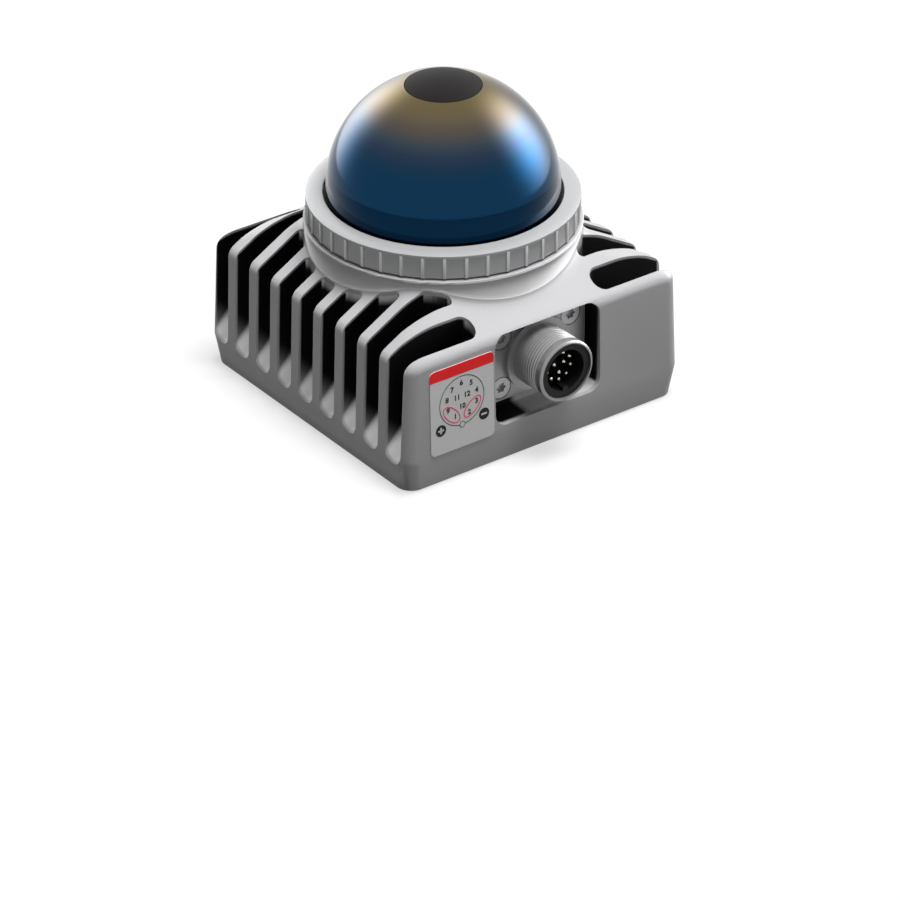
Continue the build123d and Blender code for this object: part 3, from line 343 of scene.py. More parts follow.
finishLooks = {
    "turnedSilver": look((0.37, 0.375, 0.38), 0.36, 0.15, grain=14000.0, turned=True, bump=0.2),
    "plateSilver": look((0.40, 0.40, 0.405), 0.36, 0.3, grain=7000.0),
    # the ribs' lighter colour is a painted highlight
    "ribHighlightSilver": look((0.62, 0.625, 0.63), 0.34, 0.2, grain=9000.0, bump=0.1),
    "satinNickel": look((0.30, 0.30, 0.305), 0.34, 0.5, grain=9000.0, bump=0.15),
    "screwSteel": look((0.42, 0.42, 0.425), 0.30, 0.5, grain=9000.0),
    "bearingSteel": look((0.55, 0.55, 0.56), 0.18, 1.0, grain=12000.0, turned=True, bump=0.1),
    "laminatedSteel": look((0.20, 0.20, 0.21), 0.42, 0.9, grain=9000.0),
    "blackRubber": look((0.012, 0.012, 0.013), 0.62, 0.0, grain=4200.0, bump=0.3),
    "blackInsulator": look((0.009, 0.009, 0.010), 0.45, 0.0, grain=5000.0, bump=0.15, shine=0.15),
    "blackFrame": look((0.022, 0.022, 0.024), 0.40, 0.4, grain=7000.0),
    "blackChip": look((0.016, 0.016, 0.018), 0.52, 0.0, grain=8000.0),
    "paleContact": look((0.52, 0.50, 0.45), 0.22, 1.0, grain=9000.0, bump=0.1),
    "plainBrass": look((0.55, 0.40, 0.17), 0.30, 1.0, grain=9000.0, turned=True),
    "copperWire": look((0.60, 0.26, 0.12), 0.34, 0.9, grain=11000.0, bump=0.5),
    "softPad": look((0.16, 0.20, 0.24), 0.70, 0.0, grain=3500.0, bump=0.4),
    "encoderFilm": look((0.05, 0.05, 0.055), 0.22, 0.3, grain=16000.0, turned=True),
    "magnetGrey": look((0.10, 0.10, 0.105), 0.40, 0.8, grain=7000.0),
    "mirrorFace": look((0.90, 0.90, 0.91), 0.05, 1.0, grain=3000.0, drift=0.02, bump=0.02, glossDrift=0.02),
    "labelGrey": look((0.80, 0.79, 0.79), 0.46, 0.0, grain=9000.0, bump=0.08, drift=0.06),
    "bandRed": look((1.0, 0.002, 0.003), 0.50, 0.0, grain=9000.0, bump=0.02, drift=0.03),
    "ovalRed": look((0.92, 0.10, 0.18), 0.45, 0.0, grain=9000.0, bump=0.05),
    "printBlack": look((0.010, 0.010, 0.010), 0.55, 0.0, grain=9000.0, bump=0.05, shine=0.15),
    "capMatt": look((0.008, 0.007, 0.007), 0.62, 0.0, grain=7000.0, bump=0.3, shine=0.12),
}
finishes = {name: makeFinish(name, values) for name, values in finishLooks.items()}
print("finishes made:", len(finishes))


# Die-cast body, with the broken edges of a blasted casting; its colour carries painted shade in the slots, the inlet
# pocket and on the foot, and painted highlights on the edges, slot walls, pocket floor, neck and rim
body = {
    "edge": 0.3, "edgeAngle": 34, "smoothAngle": 40, "roughness": 0.44, "metallic": 0.06,
    "grain": 5200.0, "drift": 0.12, "bump": 0.35, "paintedShadeRoughness": 0.8,
    # the lighter edge and hollow colours are painted highlights, the foot and darkest colours painted shade
    "colour": (0.41, 0.405, 0.415), "edgeHighlightColour": (0.82, 0.82, 0.83), "highlightColour": (0.68, 0.68, 0.69),
    "footShadeColour": (0.14, 0.14, 0.145), "paintedShade": (0.007, 0.007, 0.008), "footShadeStrength": 0.75, "footShadeTop": 9.0,
    "belt": 6.0, "wallLean": 0.0308, "eave": 25.5, "eaveInset": 0.6, "hipSlope": 0.566,
    "roofRise": 8.4, "corners": (3.0, 7.0), "coreRadius": 25.4, "rimFoot": 33.3,
}
# where the painted shade in the slots falls
slots = {
    "reach": 29.6, "start": 13.2, "lip": (0.2, 0.7), "climb": 0.9, "floorLift": 9.0,
    "foot": 31.4, "fade": (1.5, 14.5), "endFace": (0.55, 0.8), "endFade": (0.4, 2.6), "endShadeRelief": 0.8,
}
# where painted shade and a painted highlight fall in the inlet pocket
pocket = {
    "side": 12.9, "front": (-30.9, -30.0), "back": -25.2, "top": 25.7, "floor": (7.0, 8.6),
    "wall": (11.9, 12.2), "wallTop": 24.9, "floorShadeSpan": (2.0, 4.0),
}
# bent normals and a painted highlight for the neck and rim
neck = {
    "band": (-0.4, 0.15), "reach": 6.0, "bend": 0.8, "paintedHighlight": 1.0, "highlightSide": (0.0, 16.0), "highlightLoss": 0.55,
    "roofReach": 2.4, "roofBend": 0.42, "roofFoot": 0.5, "rimStep": 0.2, "rimBend": 1.8,
}


def mathNode(tree, operation, first, second=None, third=None):
    node = tree.nodes.new("ShaderNodeMath")
    node.operation = operation
    for socket, value in zip(node.inputs, (first, second, third)):
        if value is None:
            continue
        if isinstance(value, (int, float)):
            socket.default_value = value
        else:
            tree.links.new(value, socket)
    return node.outputs[0]


def stepNode(tree, value, low, high):  # 0 below low and 1 above high, smooth between
    node = tree.nodes.new("ShaderNodeMapRange")
    node.interpolation_type = "SMOOTHSTEP"
    node.inputs["From Min"].default_value = low
    node.inputs["From Max"].default_value = high
    tree.links.new(value, node.inputs["Value"])
    return node.outputs["Result"]


def product(tree, first, *others):
    for other in others:
        first = mathNode(tree, "MULTIPLY", first, other)
    return first


def largest(tree, first, *others):
    for other in others:
        first = mathNode(tree, "MAXIMUM", first, other)
    return first


def above(tree, value, limit):
    return mathNode(tree, "GREATER_THAN", value, limit)


def below(tree, value, limit):
    return mathNode(tree, "LESS_THAN", value, limit)


def fading(tree, value, low, high):  # 1 below low and 0 above high
    return mathNode(tree, "SUBTRACT", 1.0, stepNode(tree, value, low, high))


def roofReach(tree, ax, ay, z):  # half width of the rounded square through a point
    turn = tree.nodes.new("ShaderNodeMapRange")  # its corner radius, wider further up
    turn.inputs["From Min"].default_value = body["eave"]
    turn.inputs["From Max"].default_value = body["eave"] + body["roofRise"]
    turn.inputs["To Min"].default_value, turn.inputs["To Max"].default_value = body["corners"]
    tree.links.new(z, turn.inputs["Value"])
    radius = turn.outputs["Result"]
    offRidge = mathNode(tree, "ABSOLUTE", mathNode(tree, "SUBTRACT", ax, ay))
    offRidge = mathNode(tree, "MINIMUM", offRidge, radius)
    chord = product(tree, radius, radius, 2.0)
    chord = mathNode(tree, "SUBTRACT", chord, product(tree, offRidge, offRidge))
    chord = mathNode(tree, "ADD", mathNode(tree, "POWER", chord, 0.5), offRidge)
    rounding = mathNode(tree, "MULTIPLY_ADD", chord, -0.5, radius)
    return mathNode(tree, "ADD", largest(tree, ax, ay), rounding)


# painted shade in the slots, darker deeper in, and lifted on the end walls near the top
def slotPaintedShade(tree, slot, ax, z, roofDepth, facing, sideways):
    climb, foot = slots["climb"], slots["climb"] * slots["foot"]
    rise = mathNode(tree, "MULTIPLY_ADD", ax, -climb, z)  # climbs as a slot goes up and in
    rise = mathNode(tree, "MULTIPLY_ADD", facing.outputs["Z"], -slots["floorLift"], rise)
    low, high = slots["fade"]
    paintedShade = product(tree, slot, stepNode(tree, rise, low - foot, high - foot))
    lost = mathNode(tree, "SUBTRACT", stepNode(tree, roofDepth, *slots["endFade"]), 1.0)
    lost = product(tree, lost, slots["endShadeRelief"])  # end walls catch light at the top
    return product(tree, paintedShade, mathNode(tree, "MULTIPLY_ADD", sideways, lost, 1.0))


def pocketShadeAndHighlight(tree, x, ax, y, z):  # painted shade on the pocket's +X wall and on the left of its floor, and a painted highlight on its whole floor
    inside = product(
        tree, below(tree, ax, pocket["side"]), stepNode(tree, y, *pocket["front"]),
        below(tree, y, pocket["back"]), below(tree, z, pocket["top"]),
    )
    wall = product(
        tree, stepNode(tree, x, *pocket["wall"]), below(tree, x, pocket["side"]), below(tree, z, pocket["wallTop"])
    )
    low, high = pocket["floor"]
    floor = product(tree, below(tree, z, high), above(tree, z, low))
    shadedFloor = product(tree, floor, stepNode(tree, product(tree, x, -1.0), *pocket["floorShadeSpan"]))
    return product(tree, largest(tree, wall, shadedFloor), inside), product(tree, floor, inside)


def neckMasks(tree, x, z, spread, roofPlace, roofDepth):  # the neck meets the roof in a soft curve of bent normals; the neck and rim also get a painted highlight, weaker towards +X
    core, (inner, outer) = body["coreRadius"], neck["band"]
    onNeck = product(
        tree, below(tree, spread, core + outer), above(tree, spread, core + inner),
        fading(tree, mathNode(tree, "SUBTRACT", z, roofPlace), 0.0, neck["reach"]), above(tree, z, body["eave"]),
    )
    onRoof = product(
        tree, above(tree, spread, core + 0.02), below(tree, roofDepth, slots["lip"][0]),
        fading(tree, spread, core, core + neck["roofReach"]), neck["roofBend"],
        above(tree, z, body["eave"] + neck["roofFoot"]),
    )
    onRim = product(tree, above(tree, spread, core + neck["rimStep"]), above(tree, z, body["rimFoot"]))
    highlightFade = mathNode(tree, "MULTIPLY_ADD", stepNode(tree, x, *neck["highlightSide"]), -neck["highlightLoss"], 1.0)
    return onNeck, onRoof, onRim, product(tree, onNeck, highlightFade, neck["paintedHighlight"])


def shadeAndHighlightGroup(half):  # masks of painted shade (slots, inlet pocket, foot) and painted highlight (slot walls, pocket floor, neck, rim), and the bent normals
    group, given, made = newGroup(
        "bodyShadeAndHighlight",
        [("Scale", "NodeSocketFloat", 1.0)],
        [
            ("PaintedShadeMask", "NodeSocketFloat"), ("PaintedHighlightMask", "NodeSocketFloat"),
            ("FootShadeMask", "NodeSocketFloat"), ("Bend", "NodeSocketVector"),
        ],
    )
    nodes, link = group.nodes, group.links.new
    place = nodes.new("ShaderNodeTexCoord")
    scaled = nodes.new("ShaderNodeVectorMath")
    scaled.operation = "SCALE"
    parts = nodes.new("ShaderNodeSeparateXYZ")
    facing = nodes.new("ShaderNodeSeparateXYZ")
    link(place.outputs["Object"], scaled.inputs[0])
    link(product(group, given.outputs["Scale"], 1 / mm), scaled.inputs["Scale"])
    link(scaled.outputs["Vector"], parts.inputs["Vector"])
    link(place.outputs["Normal"], facing.inputs["Vector"])
    x, y, z = parts.outputs
    ax, ay = mathNode(group, "ABSOLUTE", x), mathNode(group, "ABSOLUTE", y)
    spread = mathNode(group, "POWER", mathNode(group, "MULTIPLY_ADD", x, x, product(group, y, y)), 0.5)
    lean, slope = body["wallLean"], body["hipSlope"]
    wallPlace = mathNode(group, "MULTIPLY_ADD", z, -lean, half + body["belt"] * lean)
    wallDepth = mathNode(group, "SUBTRACT", wallPlace, ax)
    roofTop = body["eave"] + (half - body["eaveInset"]) * slope
    roofPlace = mathNode(group, "MULTIPLY_ADD", roofReach(group, ax, ay, z), -slope, roofTop)
    roofDepth = mathNode(group, "SUBTRACT", roofPlace, z)
    slot = product(
        group, stepNode(group, mathNode(group, "MINIMUM", wallDepth, roofDepth), *slots["lip"]),
        below(group, ay, slots["reach"]), above(group, ax, slots["start"]),
        above(group, spread, body["coreRadius"]),
    )
    sideways = stepNode(group, mathNode(group, "ABSOLUTE", facing.outputs["X"]), *slots["endFace"])
    slotShade = slotPaintedShade(group, slot, ax, z, roofDepth, facing, sideways)
    pocketShade, pocketFloorHighlight = pocketShadeAndHighlight(group, x, ax, y, z)
    onNeck, onRoof, onRim, neckHighlight = neckMasks(group, x, z, spread, roofPlace, roofDepth)
    link(largest(group, slotShade, pocketShade), made.inputs["PaintedShadeMask"])
    link(largest(group, slot, pocketFloorHighlight, onRim, neckHighlight), made.inputs["PaintedHighlightMask"])
    # painted shade on the side faces of the foot, darker towards the bottom
    foot = product(group, fading(group, z, 0.0, body["footShadeTop"]), body["footShadeStrength"], sideways)
    link(foot, made.inputs["FootShadeMask"])
    bend = nodes.new("ShaderNodeCombineXYZ")  # turns the roof outward and the neck upward
    share = mathNode(group, "DIVIDE", onRoof, spread)
    link(product(group, x, share), bend.inputs[0])
    link(product(group, y, share), bend.inputs[1])
    upward = mathNode(group, "MULTIPLY_ADD", onRim, neck["rimBend"], product(group, onNeck, neck["bend"]))
    link(upward, bend.inputs[2])
    link(bend.outputs[0], made.inputs["Bend"])
    return group


def blended(tree, kind, factor, first, second):
    node = tree.nodes.new("ShaderNodeMix")
    node.data_type = kind
    tree.links.new(factor, node.inputs["Factor"])
    for socket, value in ((node.inputs["A"], first), (node.inputs["B"], second)):
        if isinstance(value, tuple):
            socket.default_value = (*value, 1)
        elif isinstance(value, (int, float)):
            socket.default_value = value
        else:
            tree.links.new(value, socket)
    return node.outputs["Result"]


def bodyFinish(name, colour, half):
    material, surface = blankFinish(name, body["roughness"], body["metallic"])
    tree = material.node_tree
    skin = addGroup(material, fineGrain, Scale=body["grain"])
    tinted = addGroup(material, tonedColour, Colour=(*colour, 1), Amount=body["drift"])
    group = bpy.data.node_groups.get("bodyShadeAndHighlight") or shadeAndHighlightGroup(half)
    shadeAndHighlight = addGroup(material, group, Scale=1.0)
    paintedShade, paintedHighlight, foot = (shadeAndHighlight.outputs[name] for name in ("PaintedShadeMask", "PaintedHighlightMask", "FootShadeMask"))
    bump = tree.nodes.new("ShaderNodeBump")
    bump.inputs["Strength"].default_value = body["bump"]
    bump.inputs["Distance"].default_value = bumpDepth
    link = tree.links.new
    link(skin.outputs["Tone"], tinted.inputs["Tone"])
    # painted highlight on the slot walls, pocket floor, neck and rim
    lit = blended(tree, "RGBA", paintedHighlight, tinted.outputs["Colour"], body["highlightColour"])
    # painted shade on the foot
    lit = blended(tree, "RGBA", foot, lit, body["footShadeColour"])
    # painted shade in the slots and the inlet pocket
    link(blended(tree, "RGBA", paintedShade, lit, body["paintedShade"]), surface.inputs["Base Color"])
    link(blended(tree, "FLOAT", paintedShade, body["metallic"], 1.0), surface.inputs["Metallic"])
    link(blended(tree, "FLOAT", paintedShade, body["roughness"], body["paintedShadeRoughness"]), surface.inputs["Roughness"])
    link(skin.outputs["Height"], bump.inputs["Height"])
    given = tree.nodes.new("ShaderNodeNewGeometry")
    bent = tree.nodes.new("ShaderNodeVectorMath")
    straight = tree.nodes.new("ShaderNodeVectorMath")
    straight.operation = "NORMALIZE"
    link(given.outputs["Normal"], bent.inputs[0])
    link(shadeAndHighlight.outputs["Bend"], bent.inputs[1])
    link(bent.outputs[0], straight.inputs[0])
    link(straight.outputs[0], bump.inputs["Normal"])
    link(bump.outputs["Normal"], surface.inputs["Normal"])
    return material


def cutAcross(piece, places, normal):  # cuts the mesh at several places along an axis
    pick(piece)
    bpy.ops.object.mode_set(mode="EDIT")
    for place in places:
        bpy.ops.mesh.select_all(action="SELECT")
        bpy.ops.mesh.bisect(plane_co=Vector(normal) * place * mm, plane_no=normal)
    bpy.ops.object.mode_set(mode="OBJECT")


def makeBody():
    piece = copyOfNode("housing", "castBody")
    half = cadBox[1].x / mm
    piece.data.materials.clear()
    piece.data.materials.append(bodyFinish("castSilver", body["colour"], half))
    # the bevel faces get a lighter colour as a painted edge highlight
    piece.data.materials.append(bodyFinish("edgeHighlightSilver", body["edgeHighlightColour"], half))
    useModifier(
        piece, "BEVEL", width=body["edge"] * mm, segments=2, limit_method="ANGLE",
        angle_limit=math.radians(body["edgeAngle"]), miter_outer="MITER_ARC", use_clamp_overlap=True, material=1,
    )
    smoothByAngle(piece, body["smoothAngle"])
    useModifier(piece, "WEIGHTED_NORMAL", keep_sharp=True, weight=60)
    seat(piece, "housing", "base")
    return piece


castBody = makeBody()
print("body done, faces:", len(castBody.data.polygons))


# Clamping ring: a faceted skirt with a round lip above it and a rib between each two facets; the ribs' lighter colour
# is a painted highlight
ring = {
    "facets": 40, "facetDepth": 0.33, "lipFoot": 38.35, "bevelFoot": 38.85, "crownRadius": 23.7,
    "ribWidth": 0.62, "ribEdge": 0.1, "ribRoot": 0.3, "eye": 22.1, "eyeEdge": 0.1, "steps": 160,
}


def makeRing():
    low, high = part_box("dome_ring")
    foot, top, outer = low.z / mm, high.z / mm - 0.01, high.x / mm - 0.01
    flat = (outer - ring["facetDepth"]) / math.cos(math.pi / ring["facets"])
    eye, lip = ring["eye"], ring["lipFoot"]
    skirt = [(eye + 0.02, 0, foot), (flat, 0, foot), (flat, 0, lip + 0.2), (eye + 0.02, 0, lip + 0.2)]
    skirtPiece = spunPiece("ringSkirt", skirt + skirt[:1], (0, 0, 1), (0, 0, 0), ring["facets"])
    smoothByAngle(skirtPiece, 5)
    crown, bevel = ring["crownRadius"], ring["bevelFoot"]
    lipLine = [
        (eye, 0, lip), (outer - 0.06, 0, lip), (outer, 0, lip + 0.06), (outer, 0, bevel),
        (outer - 0.12, 0, bevel + 0.08), (crown, 0, top),
        (eye + ring["eyeEdge"], 0, top), (eye, 0, top - ring["eyeEdge"]),
    ]
    lipPiece = spunPiece("ringLip", lipLine + lipLine[:1], (0, 0, 1), (0, 0, 0), ring["steps"])
    smoothByAngle(lipPiece, 30)
    unselectAll()
    bpy.ops.mesh.primitive_cube_add(size=1, location=(0, 0, 0))
    rib = bpy.context.object
    rib.name = "ringRibs"
    depth = ring["facetDepth"] + ring["ribRoot"]
    rib.scale = (depth * mm, ring["ribWidth"] * mm, (lip - foot + 0.1) * mm)
    rib.location = ((outer - depth / 2) * mm, 0, (foot + lip + 0.1) / 2 * mm)
    settle(rib)
    useModifier(rib, "BEVEL", width=ring["ribEdge"] * mm, segments=2, limit_method="ANGLE")
    ribs = [rib]
    for step in range(1, ring["facets"]):
        copy = rib.copy()
        copy.data = rib.data.copy()
        bpy.context.collection.objects.link(copy)
        copy.rotation_euler = (0, 0, 2 * math.pi * step / ring["facets"])
        settle(copy)
        ribs.append(copy)
    ribs = joined("ringRibs", ribs)
    smoothByAngle(ribs, 40)
    for piece, finish in ((lipPiece, "turnedSilver"), (ribs, "ribHighlightSilver")):
        piece.data.materials.append(finishes[finish])
        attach(piece, "base")
    seat(skirtPiece, "dome_ring", "base", finishes["turnedSilver"])


# Dome: one wall of dark coated plastic, and the matt disc on its top; its colour by height is partly the coating's
# tint and partly painted reflection, the tan top for reflected lamps and the dark foot band for the reflected ring
dome = {
    "radius": 21.58, "wall": 1.6, "center": 40.12, "flange": 23.6, "flangeTop": 37.4,
    "flangeFoot": 36.0, "capRadius": 7.15, "capDepth": 0.35, "steps": 128, "roughness": (0.08, 0.15),
    # colour by height: coating tint, with painted reflection of the lamps at the top and of the ring at the foot
    "tintAndReflectionBands": [
        (44.1, (0.0030, 0.0185, 0.0440)),
        (44.4, (0.0060, 0.0340, 0.0790)), (50.4, (0.0065, 0.0345, 0.0790)),
        (52.4, (0.0120, 0.0360, 0.0700)), (54.0, (0.0240, 0.0400, 0.0740)),
        (55.3, (0.0380, 0.0560, 0.0780)), (57.6, (0.1000, 0.0830, 0.0680)),
        (58.9, (0.1350, 0.1080, 0.0680)), (59.9, (0.1520, 0.1200, 0.0600)),
    ],
}


def domeFinish():
    smooth, rough = dome["roughness"]
    material, surface = blankFinish("domeTintAndReflection", smooth, 1.0)
    nodes, link = material.node_tree.nodes, material.node_tree.links.new
    low, high = dome["tintAndReflectionBands"][0][0], dome["tintAndReflectionBands"][-1][0]
    place = nodes.new("ShaderNodeTexCoord")
    parts = nodes.new("ShaderNodeSeparateXYZ")
    level = nodes.new("ShaderNodeMapRange")
    level.inputs["From Min"].default_value = low * mm
    level.inputs["From Max"].default_value = high * mm
    ramp = nodes.new("ShaderNodeValToRGB")
    while len(ramp.color_ramp.elements) < len(dome["tintAndReflectionBands"]):
        ramp.color_ramp.elements.new(0.5)
    for element, (height, colour) in zip(ramp.color_ramp.elements, dome["tintAndReflectionBands"]):
        element.position = (height - low) / (high - low)
        element.color = (*colour, 1)
    skin = addGroup(material, fineGrain, Scale=900.0, Blotch=0.7)
    gloss = nodes.new("ShaderNodeMapRange")
    gloss.inputs["To Min"].default_value = smooth
    gloss.inputs["To Max"].default_value = rough
    link(place.outputs["Object"], parts.inputs["Vector"])
    link(parts.outputs["Z"], level.inputs["Value"])
    link(level.outputs["Result"], ramp.inputs["Fac"])
    link(ramp.outputs["Color"], surface.inputs["Base Color"])
    link(skin.outputs["Tone"], gloss.inputs["Value"])
    link(gloss.outputs["Result"], surface.inputs["Roughness"])
    return material


def makeDome():
    turn = 90 - math.degrees(math.asin(dome["capRadius"] / dome["radius"]))
    inner = dome["radius"] - dome["wall"]
    outline = arcPoints(dome["radius"], dome["center"], 0, turn, 40)
    outline += arcPoints(dome["radius"] - dome["capDepth"], dome["center"], turn, 90, 8)
    outline += arcPoints(inner, dome["center"], 90, 0, 40)
    outline += [(inner, 0, dome["flangeFoot"]), (dome["flange"], 0, dome["flangeFoot"])]
    outline += [(dome["flange"], 0, dome["flangeTop"]), (dome["radius"], 0, dome["flangeTop"])]
    outline.append(outline[0])
    piece = spunPiece("domeShell", outline, (0, 0, 1), (0, 0, 0), dome["steps"])
    smoothByAngle(piece, 35)
    seat(piece, "dome", "base", domeFinish())
    capLow = dome["radius"] - dome["capDepth"]
    cap = arcPoints(dome["radius"], dome["center"], 90, turn + 0.35, 10)
    cap += arcPoints(capLow + 0.15, dome["center"], turn, turn, 1)[:1]
    cap += arcPoints(capLow, dome["center"], turn, 90, 8)
    disc = spunPiece("domeDisc", cap, (0, 0, 1), (0, 0, 0), dome["steps"])
    smoothByAngle(disc, 35)
    seat(disc, "dome_cap", "base", finishes["capMatt"])
    return piece, disc


makeRing()
makeDome()
print("ring and dome done")


def flatDisc(name, center, radius, hole=0.0, steps=64, squeeze=1.0, turn=0.0):
    unselectAll()
    bpy.ops.mesh.primitive_circle_add(
        vertices=steps, radius=radius * mm, fill_type="NGON", location=(0, 0, 0)
    )
    piece = bpy.context.object
    piece.name = name
    bpy.ops.object.mode_set(mode="EDIT")
    bpy.ops.mesh.select_all(action="SELECT")
    bpy.ops.transform.resize(value=(1, squeeze, 1))
    if hole:
        bpy.ops.mesh.inset(thickness=(radius - hole) * mm)
        bpy.ops.mesh.delete(type="FACE")
    bpy.ops.object.mode_set(mode="OBJECT")
    piece.rotation_euler = (0, 0, math.radians(turn))
    piece.location = (center[0] * mm, center[1] * mm, 0)
    settle(piece)
    return piece


# Threaded inlet
inlet = {
    "x": 0.5, "z": 17.6, "flangeFront": 27.5, "radius": 6.0, "edge": 0.1, "insertEdge": 0.15,
    "pitch": 0.64, "depth": 0.2, "threadStart": 28.7, "threadEnd": 34.9, "steps": 64,
    # the screw-head ring width and depth size the black rings of painted shadow round each head
    "screwEdge": 0.06, "screwX": 7.85, "screwZ": 5.1, "headRadius": 2.1, "gap": 0.14, "shadeRingDepth": 0.04,
}


def narrowBarrel(piece, first, last, depth):  # sinks the barrel between two cuts
    cutAcross(piece, (-first, -first - 0.05, -last, -last - 0.25), (0, 1, 0))
    pick(piece)
    bpy.ops.object.mode_set(mode="EDIT")
    bpy.ops.mesh.select_all(action="DESELECT")
    bpy.ops.object.mode_set(mode="OBJECT")
    for vertex in piece.data.vertices:
        x, y, z = vertex.co / mm
        onBarrel = abs(math.hypot(x - inlet["x"], z - inlet["z"]) - inlet["radius"]) < 0.1
        vertex.select = onBarrel and -last - 0.01 < y < -first - 0.04
    bpy.ops.object.mode_set(mode="EDIT")
    shrink = 1 - depth / inlet["radius"]
    bpy.ops.transform.resize(
        value=(shrink, 1, shrink), center_override=(inlet["x"] * mm, 0, inlet["z"] * mm)
    )
    bpy.ops.object.mode_set(mode="OBJECT")


def makeThread():  # one closed tooth wound along the barrel
    root, pitch = inlet["radius"] - inlet["depth"] - 0.15, inlet["pitch"]
    crest, start = inlet["radius"] - 0.04, inlet["threadStart"] - 0.3
    tooth = [
        (root, 0, 0), (root + 0.16, 0, 0.02), (crest, 0, pitch * 0.40),
        (crest, 0, pitch * 0.54), (root + 0.16, 0, pitch * 0.92), (root, 0, pitch * 0.94),
    ]
    piece = tracedOutline("inletThread", tooth)
    bpy.ops.mesh.select_all(action="SELECT")
    bpy.ops.mesh.edge_face_add()
    bpy.ops.object.mode_set(mode="OBJECT")
    turns = round((inlet["threadEnd"] - start) / pitch - 0.6)
    useModifier(
        piece, "SCREW", axis="Z", angle=2 * math.pi * turns, screw_offset=turns * pitch * mm,
        steps=inlet["steps"] * turns, render_steps=inlet["steps"] * turns, use_normal_calculate=True,
    )
    closeUp(piece)
    piece.rotation_euler = (math.pi / 2, 0, 0)
    piece.location = (inlet["x"] * mm, -start * mm, inlet["z"] * mm)
    settle(piece)
    smoothByAngle(piece, 25)
    piece.data.materials.append(finishes["satinNickel"])
    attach(piece, "base")
    return piece


def makeInlet():
    shell = softCopy("connector_shell", "inletShell", inlet["edge"], sharp=35)
    narrowBarrel(shell, inlet["threadStart"], inlet["threadEnd"], inlet["depth"])
    smoothByAngle(shell, 30)
    makeThread()
    seat(shell, "connector_shell", "base", finishes["satinNickel"])
    insert = softCopy("connector_insert", "inletInsert", inlet["insertEdge"], sharp=50)
    seat(insert, "connector_insert", "base", finishes["blackInsulator"])
    screws = softCopy("connector_screws", "inletScrews", inlet["screwEdge"], sharp=45)
    seat(screws, "connector_screws", "base", finishes["screwSteel"])
    makeScrewShadeRings()


def makeScrewShadeRings():  # a painted shadow: a thin black ring round each screw head
    shadeRings = []
    for x, z in ((-1, -1), (-1, 1), (1, -1), (1, 1)):
        gap = flatDisc("gap", (0, 0), inlet["headRadius"] + inlet["gap"], hole=inlet["headRadius"])
        gap.rotation_euler = (math.pi / 2, 0, 0)
        place = (inlet["x"] + x * inlet["screwX"], -inlet["flangeFront"], inlet["z"] + z * inlet["screwZ"])
        gap.location = Vector(place) * mm
        settle(gap)
        shadeRings.append(gap)
    shadeRings = joined("inletScrewShadeRings", shadeRings)
    useModifier(shadeRings, "SOLIDIFY", thickness=inlet["shadeRingDepth"] * mm, offset=0)
    closeUp(shadeRings, 0.0005)
    shadeRings.data.materials.clear()
    shadeRings.data.materials.append(finishes["blackInsulator"])
    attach(shadeRings, "base")


makeInlet()
print("inlet done")


# Label: a grey foil with a red band and the plain pin numbers of the inlet
label = {
    "thickness": 0.15, "ink": 0.02, "corner": 1.0, "bandHeight": 2.2, "circleRadius": 5.0,
    "circleCenter": (-0.1, 0.95), "line": 0.14, "figure": 1.42, "figureWeight": 0.055,
    "keyRadius": 0.65, "keyLift": 0.1, "signRadius": 1.15, "stroke": (1.25, 0.36), "foilEdge": 0.04,
    "plusAt": (-4.86, -3.73), "minusAt": (4.78, -3.45),
    "figures": {
        "1": (-1.6, -1.9), "2": (1.53, -1.99), "3": (3.16, -0.25), "4": (3.21, 1.99),
        "5": (2.04, 3.86), "6": (-0.13, 4.51), "7": (-2.21, 3.70), "8": (-3.37, 1.91),
        "9": (-3.18, -0.27), "10": (-0.01, -0.27), "11": (-1.16, 1.79), "12": (1.05, 1.83),
    },
    "ovals": [((-2.42, -1.3), -46.0), ((2.2, -1.06), 43.0)], "ovalLength": 4.9, "ovalLine": 0.24, "ovalSqueeze": 0.52,
}


def onLabel(piece, lift):  # turns a piece drawn flat onto the leaning face of the label
    low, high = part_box("pinout_label")
    lean = math.atan((high.y - low.y - label["thickness"] * mm) / (high.z - low.z))
    middle = (low + high) / 2
    out = Vector((0, -math.cos(lean), math.sin(lean)))
    piece.location = middle + out * (label["thickness"] / 2 + lift) * mm
    piece.rotation_euler = (math.pi / 2 - lean, 0, 0)
    settle(piece)
    return piece


def figure(text, place, size):
    unselectAll()
    bpy.ops.object.text_add(location=(place[0] * mm, place[1] * mm, 0))
    piece = bpy.context.object
    piece.data.body = text
    piece.data.size = size * mm
    piece.data.offset = label["figureWeight"] * mm
    piece.data.align_x = "CENTER"
    piece.data.align_y = "CENTER"
    piece.data.resolution_u = 3
    bpy.ops.object.convert(target="MESH")
    settle(piece)
    return piece


def bar(name, center, width, height):
    unselectAll()
    bpy.ops.mesh.primitive_plane_add(size=1, location=(0, 0, 0))
    piece = bpy.context.object
    piece.name = name
    piece.scale = (width * mm, height * mm, 1)
    piece.location = (center[0] * mm, center[1] * mm, 0)
    settle(piece)
    return piece


def inked(name, pieces, material, lift=0.0):
    piece = joined(name, pieces)
    useModifier(piece, "SOLIDIFY", thickness=2 * label["ink"] * mm, offset=0)
    onLabel(piece, lift)
    closeUp(piece, 0.0005)
    piece.data.materials.clear()
    piece.data.materials.append(material)
    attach(piece, "base")
    return piece


